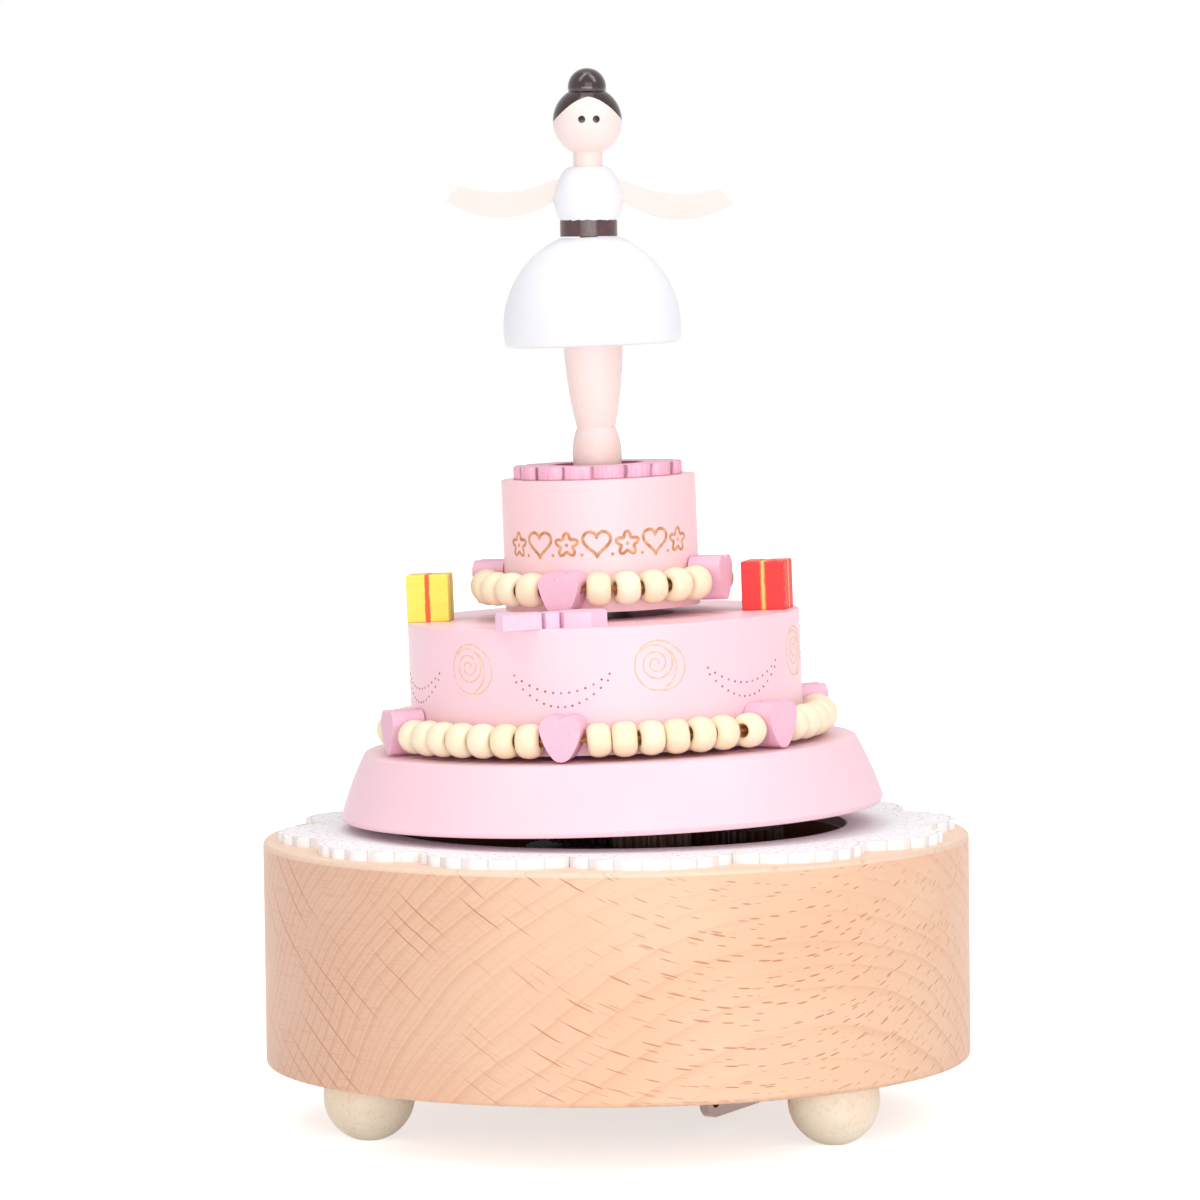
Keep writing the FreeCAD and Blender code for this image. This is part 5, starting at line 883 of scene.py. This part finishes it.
# Ornament burnt into the tiers and cut into the doily


# Roses and swags come from a strip a little shorter than the tier's girth, so they leave a gap behind
STRIP_STEP = math.radians(57.4)
ROSE_BELOW_TOP = 6.7
ROSE_RIGHT_OF_FRONT = 16.0
SWAG_BELOW_TOP = 7.6
SWAG_LEFT_OF_FRONT = 12.7

# The heart of a rose: a spiral, with radii and shifts as shares of the rose's radius
SPIRAL_TURNS = 2.45
SPIRAL_RADII = (0.09, 0.76)
SPIRAL_SHIFT = (-0.17, 0.1)
SPIRAL_TWIST = -0.35

# Its petals: radius, start and sweep of the arc in degrees, shift across and up, and how tall for its width
PETALS = (
    (0.93, 55, 232, -0.09, 0.02, 1.04),
    (0.91, -88, 150, 0.09, -0.05, 1.0),
    (0.74, -68, 118, -0.1, -0.05, 1.12),
)

# The rows of a swag: dots, share of the span, sag and rise
SWAG_ROWS = ((13, 1.0, 3.0, 0.0), (14, 0.96, 4.2, -1.1))

MOTIF_STEP = math.radians(36.0)
MOTIF_OVER_BOTTOM = 11.4
MOTIFS_LEFT_OF_FRONT = 56.0
DOT_BELOW_MOTIF = 1.7

# The slots of a lobe: amount, reach, half their spread in degrees, length in widths, and turn in degrees
LACE_SLOTS = ((13, 12.4, 66, 3.6, 90), (9, 9.6, 52, 4.6, 0), (7, 7.0, 48, 3.0, 90))


def strip_of(shape, flat, amount, along=0.0, up=0.0):
    """Copies of a flat design at even steps round a tier, still laid out flat."""
    x = (shape.index() * shape.step + shape.first + along) * shape.tier_radius
    return shape.copies(shape.points(amount, shape.point(x, shape.height + up * MM, 0.0)), flat)


def burnt_round(shape, flat, scorch):
    """The laid-out design as one mesh, wrapped round its leaning tier."""
    return shape.make(shape.leaned(shape.wrapped(flat, shape.tier_radius, shape.relief)), scorch)


def rose_row():
    """Six thin spiral roses round the middle tier."""
    shape = Shape("rose_lines", roses=6, tier_radius=MIDDLE_RADIUS * MM, line_half=0.13 * MM,
                  rose_radius=4.25 * MM, height=(MIDDLE_TOP - ROSE_BELOW_TOP) * MM, step=STRIP_STEP,
                  first=math.radians(FRONT + ROSE_RIGHT_OF_FRONT) - 4 * STRIP_STEP, relief=0.35)
    radius = shape.rose_radius

    def shift(across, up):
        return shape.point(radius * across, radius * up, 0.0)

    inner, outer = SPIRAL_RADII
    spiral = shape.node("GeometryNodeCurveSpiral", {},
                        {"Resolution": 36, "Rotations": SPIRAL_TURNS, "Start Radius": radius * inner,
                         "End Radius": radius * outer, "Height": 0.0, "Reverse": True})
    curves = [shape.moved(spiral, shift(*SPIRAL_SHIFT), (0.0, 0.0, SPIRAL_TWIST))]
    for share, start, sweep, across, up, tall in PETALS:
        arc = shape.node("GeometryNodeCurveArc", {},
                         {"Resolution": 36, "Radius": radius * share, "Start Angle": math.radians(start),
                          "Sweep Angle": math.radians(sweep)})
        curves.append(shape.moved(arc, shift(across, up), scale=(1.0, tall, 1.0)))
    lines = shape.stroke(shape.join(*curves), shape.line_half)
    scorch = scorched("rose_scorch", paint(238, 194, 160), paint(247, 212, 180))
    roses = burnt_round(shape, strip_of(shape, lines, shape.roses), scorch)
    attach(roses, "lower_cake")


def swag_row():
    """Six hanging swags of two rows of dots between the roses."""
    shape = Shape("swag_dots", swags=6, tier_radius=MIDDLE_RADIUS * MM, dot_radius=0.22 * MM,
                  half_span=8.15 * MM, height=(MIDDLE_TOP - SWAG_BELOW_TOP) * MM, step=STRIP_STEP,
                  first=math.radians(FRONT - SWAG_LEFT_OF_FRONT) - 3 * STRIP_STEP, relief=0.3)
    rows = []
    for amount, span, sag, rise in SWAG_ROWS:
        share = shape.index() / (amount - 1) * 2.0 - 1.0
        where = shape.point(share * shape.half_span * span, (share * share * sag - sag + rise) * MM, 0.0)
        rows.append(shape.points(amount, where))
    dots = shape.realized(shape.copies(shape.join(*rows), shape.dot(shape.dot_radius)))
    scorch = scorched("swag_scorch", paint(160, 96, 90), paint(200, 140, 126))
    swags = burnt_round(shape, strip_of(shape, dots, shape.swags), scorch)
    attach(swags, "lower_cake")


def tier_ornament():
    """A row of burnt blossoms and hearts with dots between them, round the front of the upper tier."""
    shape = Shape("tier_ornament", blossoms=4, tier_radius=UPPER_RADIUS * MM, line_half=0.27 * MM,
                  motif_size=2.2 * MM, height=(UPPER_BOTTOM + MOTIF_OVER_BOTTOM) * MM, step=MOTIF_STEP,
                  first=math.radians(FRONT - MOTIFS_LEFT_OF_FRONT), relief=0.2)
    gaps = shape.blossoms - 1.0
    share = shape.node("GeometryNodeSplineParameter") * math.tau
    ring = shape.node("GeometryNodeCurvePrimitiveCircle", {}, {"Resolution": 64, "Radius": 1.0})

    def cosine(times):
        return shape.math("COSINE", share * times)

    # The common heart curve, about 15 from its middle to its edge, lifted to sit in the middle of its place
    sine = shape.math("SINE", share)
    heart_x = sine * sine * sine * 16.0
    heart_y = cosine(1.0) * 13.0 - cosine(2.0) * 5.0 - cosine(3.0) * 2.0 - cosine(4.0)
    scale = shape.motif_size / 15.0
    heart = shape.set_position(ring, shape.point(heart_x * scale, (heart_y + 2.5) * scale, 0.0))

    # A circle with five bulges, round a dot
    reach = (cosine(5.0) * 0.2 + 0.72) * shape.motif_size
    blossom = shape.set_position(ring, shape.point(reach * sine, reach * cosine(1.0), 0.0))
    blossom = shape.join(shape.stroke(blossom, shape.line_half), shape.dot(shape.line_half * 1.3))

    dot = shape.dot(shape.line_half * 1.15)
    flat = shape.join(strip_of(shape, blossom, shape.blossoms),
                      strip_of(shape, shape.stroke(heart, shape.line_half), gaps, MOTIF_STEP / 2),
                      strip_of(shape, dot, gaps, MOTIF_STEP / 4, -DOT_BELOW_MOTIF),
                      strip_of(shape, dot, gaps, MOTIF_STEP * 3 / 4, -DOT_BELOW_MOTIF))
    scorch = scorched("tier_scorch", paint(196, 128, 88), paint(226, 170, 124))
    ornament = burnt_round(shape, flat, scorch)
    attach(ornament, "top_tier")


def lace_marks():
    """Short slots cut into each lobe of the doily, in two arcs and a small fan."""
    shape = Shape("lace_marks", lobes=LACE_LOBES, lobe_circle=LACE_LOBE_CIRCLE * MM,
                  top=(LACE_TOP + 0.005) * MM, first=math.radians(LACE_DIRECTION), slot_half=0.11 * MM)
    fans = []
    for amount, reach, spread, long, turn in LACE_SLOTS:
        share = shape.index() / (amount - 1) * 2.0 - 1.0
        angle = share * math.radians(spread)
        fans.append(shape.copies(shape.points(amount, shape.around(reach * MM, angle)),
                                 shape.dot(shape.slot_half),
                                 shape.point(0.0, 0.0, angle + math.radians(turn)), (long, 1.0, 0.25)))
    fan = shape.realized(shape.join(*fans))
    angle = shape.index() * (math.tau / shape.lobes) + shape.first
    where = shape.around(shape.lobe_circle, angle, shape.top)
    where = shape.vector("ADD", where, (LACE_SHIFT * MM, 0.0, 0.0))
    lobes = shape.copies(shape.points(shape.lobes, where), fan, shape.point(0.0, 0.0, angle))
    # The slots are flat grey marks on the top, as painted shade of the cut slots
    marks = shape.make(lobes, scorched("lace_slot", paint(176, 166, 172), paint(222, 216, 222)))
    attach(marks, "base")


rose_row()
swag_row()
tier_ornament()
lace_marks()


# Floor, light and camera


FLOOR_SIZE = 12.0
FLOOR_WHITE = 0.93
WHITE = (1.0, 1.0, 1.0, 1.0)

# The floor glows white to the camera, less near the object, where its shadow stays
SHADOW_REACH = (70.0, 200.0)
GLOW_IN_SHADOW = 0.62

# The world is white to the camera and in reflections, and lights the object with this strength
WORLD_LIGHT = 0.46

# Area lamps: place, aim, width and length in metres, and power in watts
LAMPS = {
    "left_strip": ((-0.45, -0.35, 1.1), (0.0, 0.0, 0.08), 0.3, 1.0, 3.0),
    "right_strip": ((0.6, -0.4, 1.05), (0.0, 0.0, 0.08), 0.3, 1.0, 4.0),
    "top_softbox": ((0.0, 0.05, 1.2), (0.0, 0.05, 0.0), 0.5, 0.5, 1.1),
    "front_softbox": ((0.2, -1.3, 0.42), (0.0, 0.0, 0.1), 1.0, 0.8, 4.0),
    "low_fill": ((0.0, -1.0, 0.1), (0.0, 0.0, 0.03), 1.2, 0.15, 2.4),
}

# The camera's place in metres and its turns, matched to the photograph's outline. Its focal length is in
# pixels of the photograph
CAMERA_PLACE = (0.0, -0.975, 0.151043)
CAMERA_PITCH = math.radians(3.6375)
CAMERA_ROLL = math.radians(0.7118)
CAMERA_YAW = math.radians(-0.1297)
FOCAL_PIXELS = 5752.39
PHOTO_WIDTH = 1200
SENSOR_WIDTH = 36.0


def seen_rays(nodes):
    """1 for rays from the camera, off a mirror or through glass, and 0 for light on the object."""
    rays = [nodes.node("ShaderNodeLightPath", {}, {}, output)
            for output in ("Is Camera Ray", "Is Glossy Ray", "Is Transmission Ray")]
    return nodes.larger(nodes.larger(rays[0], rays[1]), rays[2])


def floor():
    """A white floor that keeps the object's shadow."""
    ground = Finish("floor_white", Roughness=0.9, Specular_IOR_Level=0.0,
                    Base_Color=(FLOOR_WHITE, FLOOR_WHITE, FLOOR_WHITE, 1.0))
    x, y = ground.axes(ground.place)[:2]
    share = ground.ramp(ground.length(ground.point(x, y)), *SHADOW_REACH, GLOW_IN_SHADOW, 1.0)
    glow = ground.node("ShaderNodeEmission", {}, {"Color": WHITE, "Strength": seen_rays(ground) * share})
    both = ground.node("ShaderNodeAddShader", {}, {0: Wire(ground, ground.shader.outputs[0]), 1: glow})
    ground.tree.links.new(both.socket, ground.tree.nodes["Material Output"].inputs["Surface"])
    bpy.ops.mesh.primitive_plane_add(size=FLOOR_SIZE, location=(0.0, 0.0, 0.0))
    plane = bpy.context.object
    plane.name = "floor"
    plane.data.materials.append(ground.material)


def world():
    """A plain white surround."""
    sky = bpy.data.worlds.new("studio")
    bpy.context.scene.world = sky
    sky.use_nodes = True
    nodes = Nodes(sky.node_tree)
    background = nodes.tree.nodes["Background"]
    background.inputs["Color"].default_value = WHITE
    strength = nodes.larger(seen_rays(nodes), WORLD_LIGHT)
    nodes.tree.links.new(strength.socket, background.inputs["Strength"])


def lamps():
    """Soft studio lamps above, beside and before the object."""
    for name, (place, aim, width, length, power) in LAMPS.items():
        light = bpy.data.lights.new(name, "AREA")
        light.shape = "RECTANGLE"
        light.size = width
        light.size_y = length
        light.energy = power
        lamp = bpy.data.objects.new(name, light)
        bpy.context.scene.collection.objects.link(lamp)
        lamp.location = place
        lamp.rotation_euler = (Vector(aim) - Vector(place)).to_track_quat("-Z", "Y").to_euler()


def camera():
    """The place from which the photograph's outline was matched, with its slight roll."""
    level = math.cos(CAMERA_PITCH)
    forward = Vector((math.sin(CAMERA_YAW) * level, math.cos(CAMERA_YAW) * level, -math.sin(CAMERA_PITCH)))
    right = Vector((math.cos(CAMERA_YAW), -math.sin(CAMERA_YAW), 0.0))
    up = right.cross(forward)
    rolled_right = right * math.cos(CAMERA_ROLL) - up * math.sin(CAMERA_ROLL)
    rolled_up = right * math.sin(CAMERA_ROLL) + up * math.cos(CAMERA_ROLL)
    data = bpy.data.cameras.new("camera")
    data.sensor_width = SENSOR_WIDTH
    data.lens = FOCAL_PIXELS / PHOTO_WIDTH * SENSOR_WIDTH
    eye = bpy.data.objects.new("camera", data)
    bpy.context.scene.collection.objects.link(eye)
    turn = Matrix((rolled_right, rolled_up, -forward)).transposed().to_4x4()
    eye.matrix_world = Matrix.Translation(CAMERA_PLACE) @ turn
    bpy.context.scene.camera = eye


floor()
world()
lamps()
camera()
bpy.context.scene.view_settings.view_transform = "Standard"
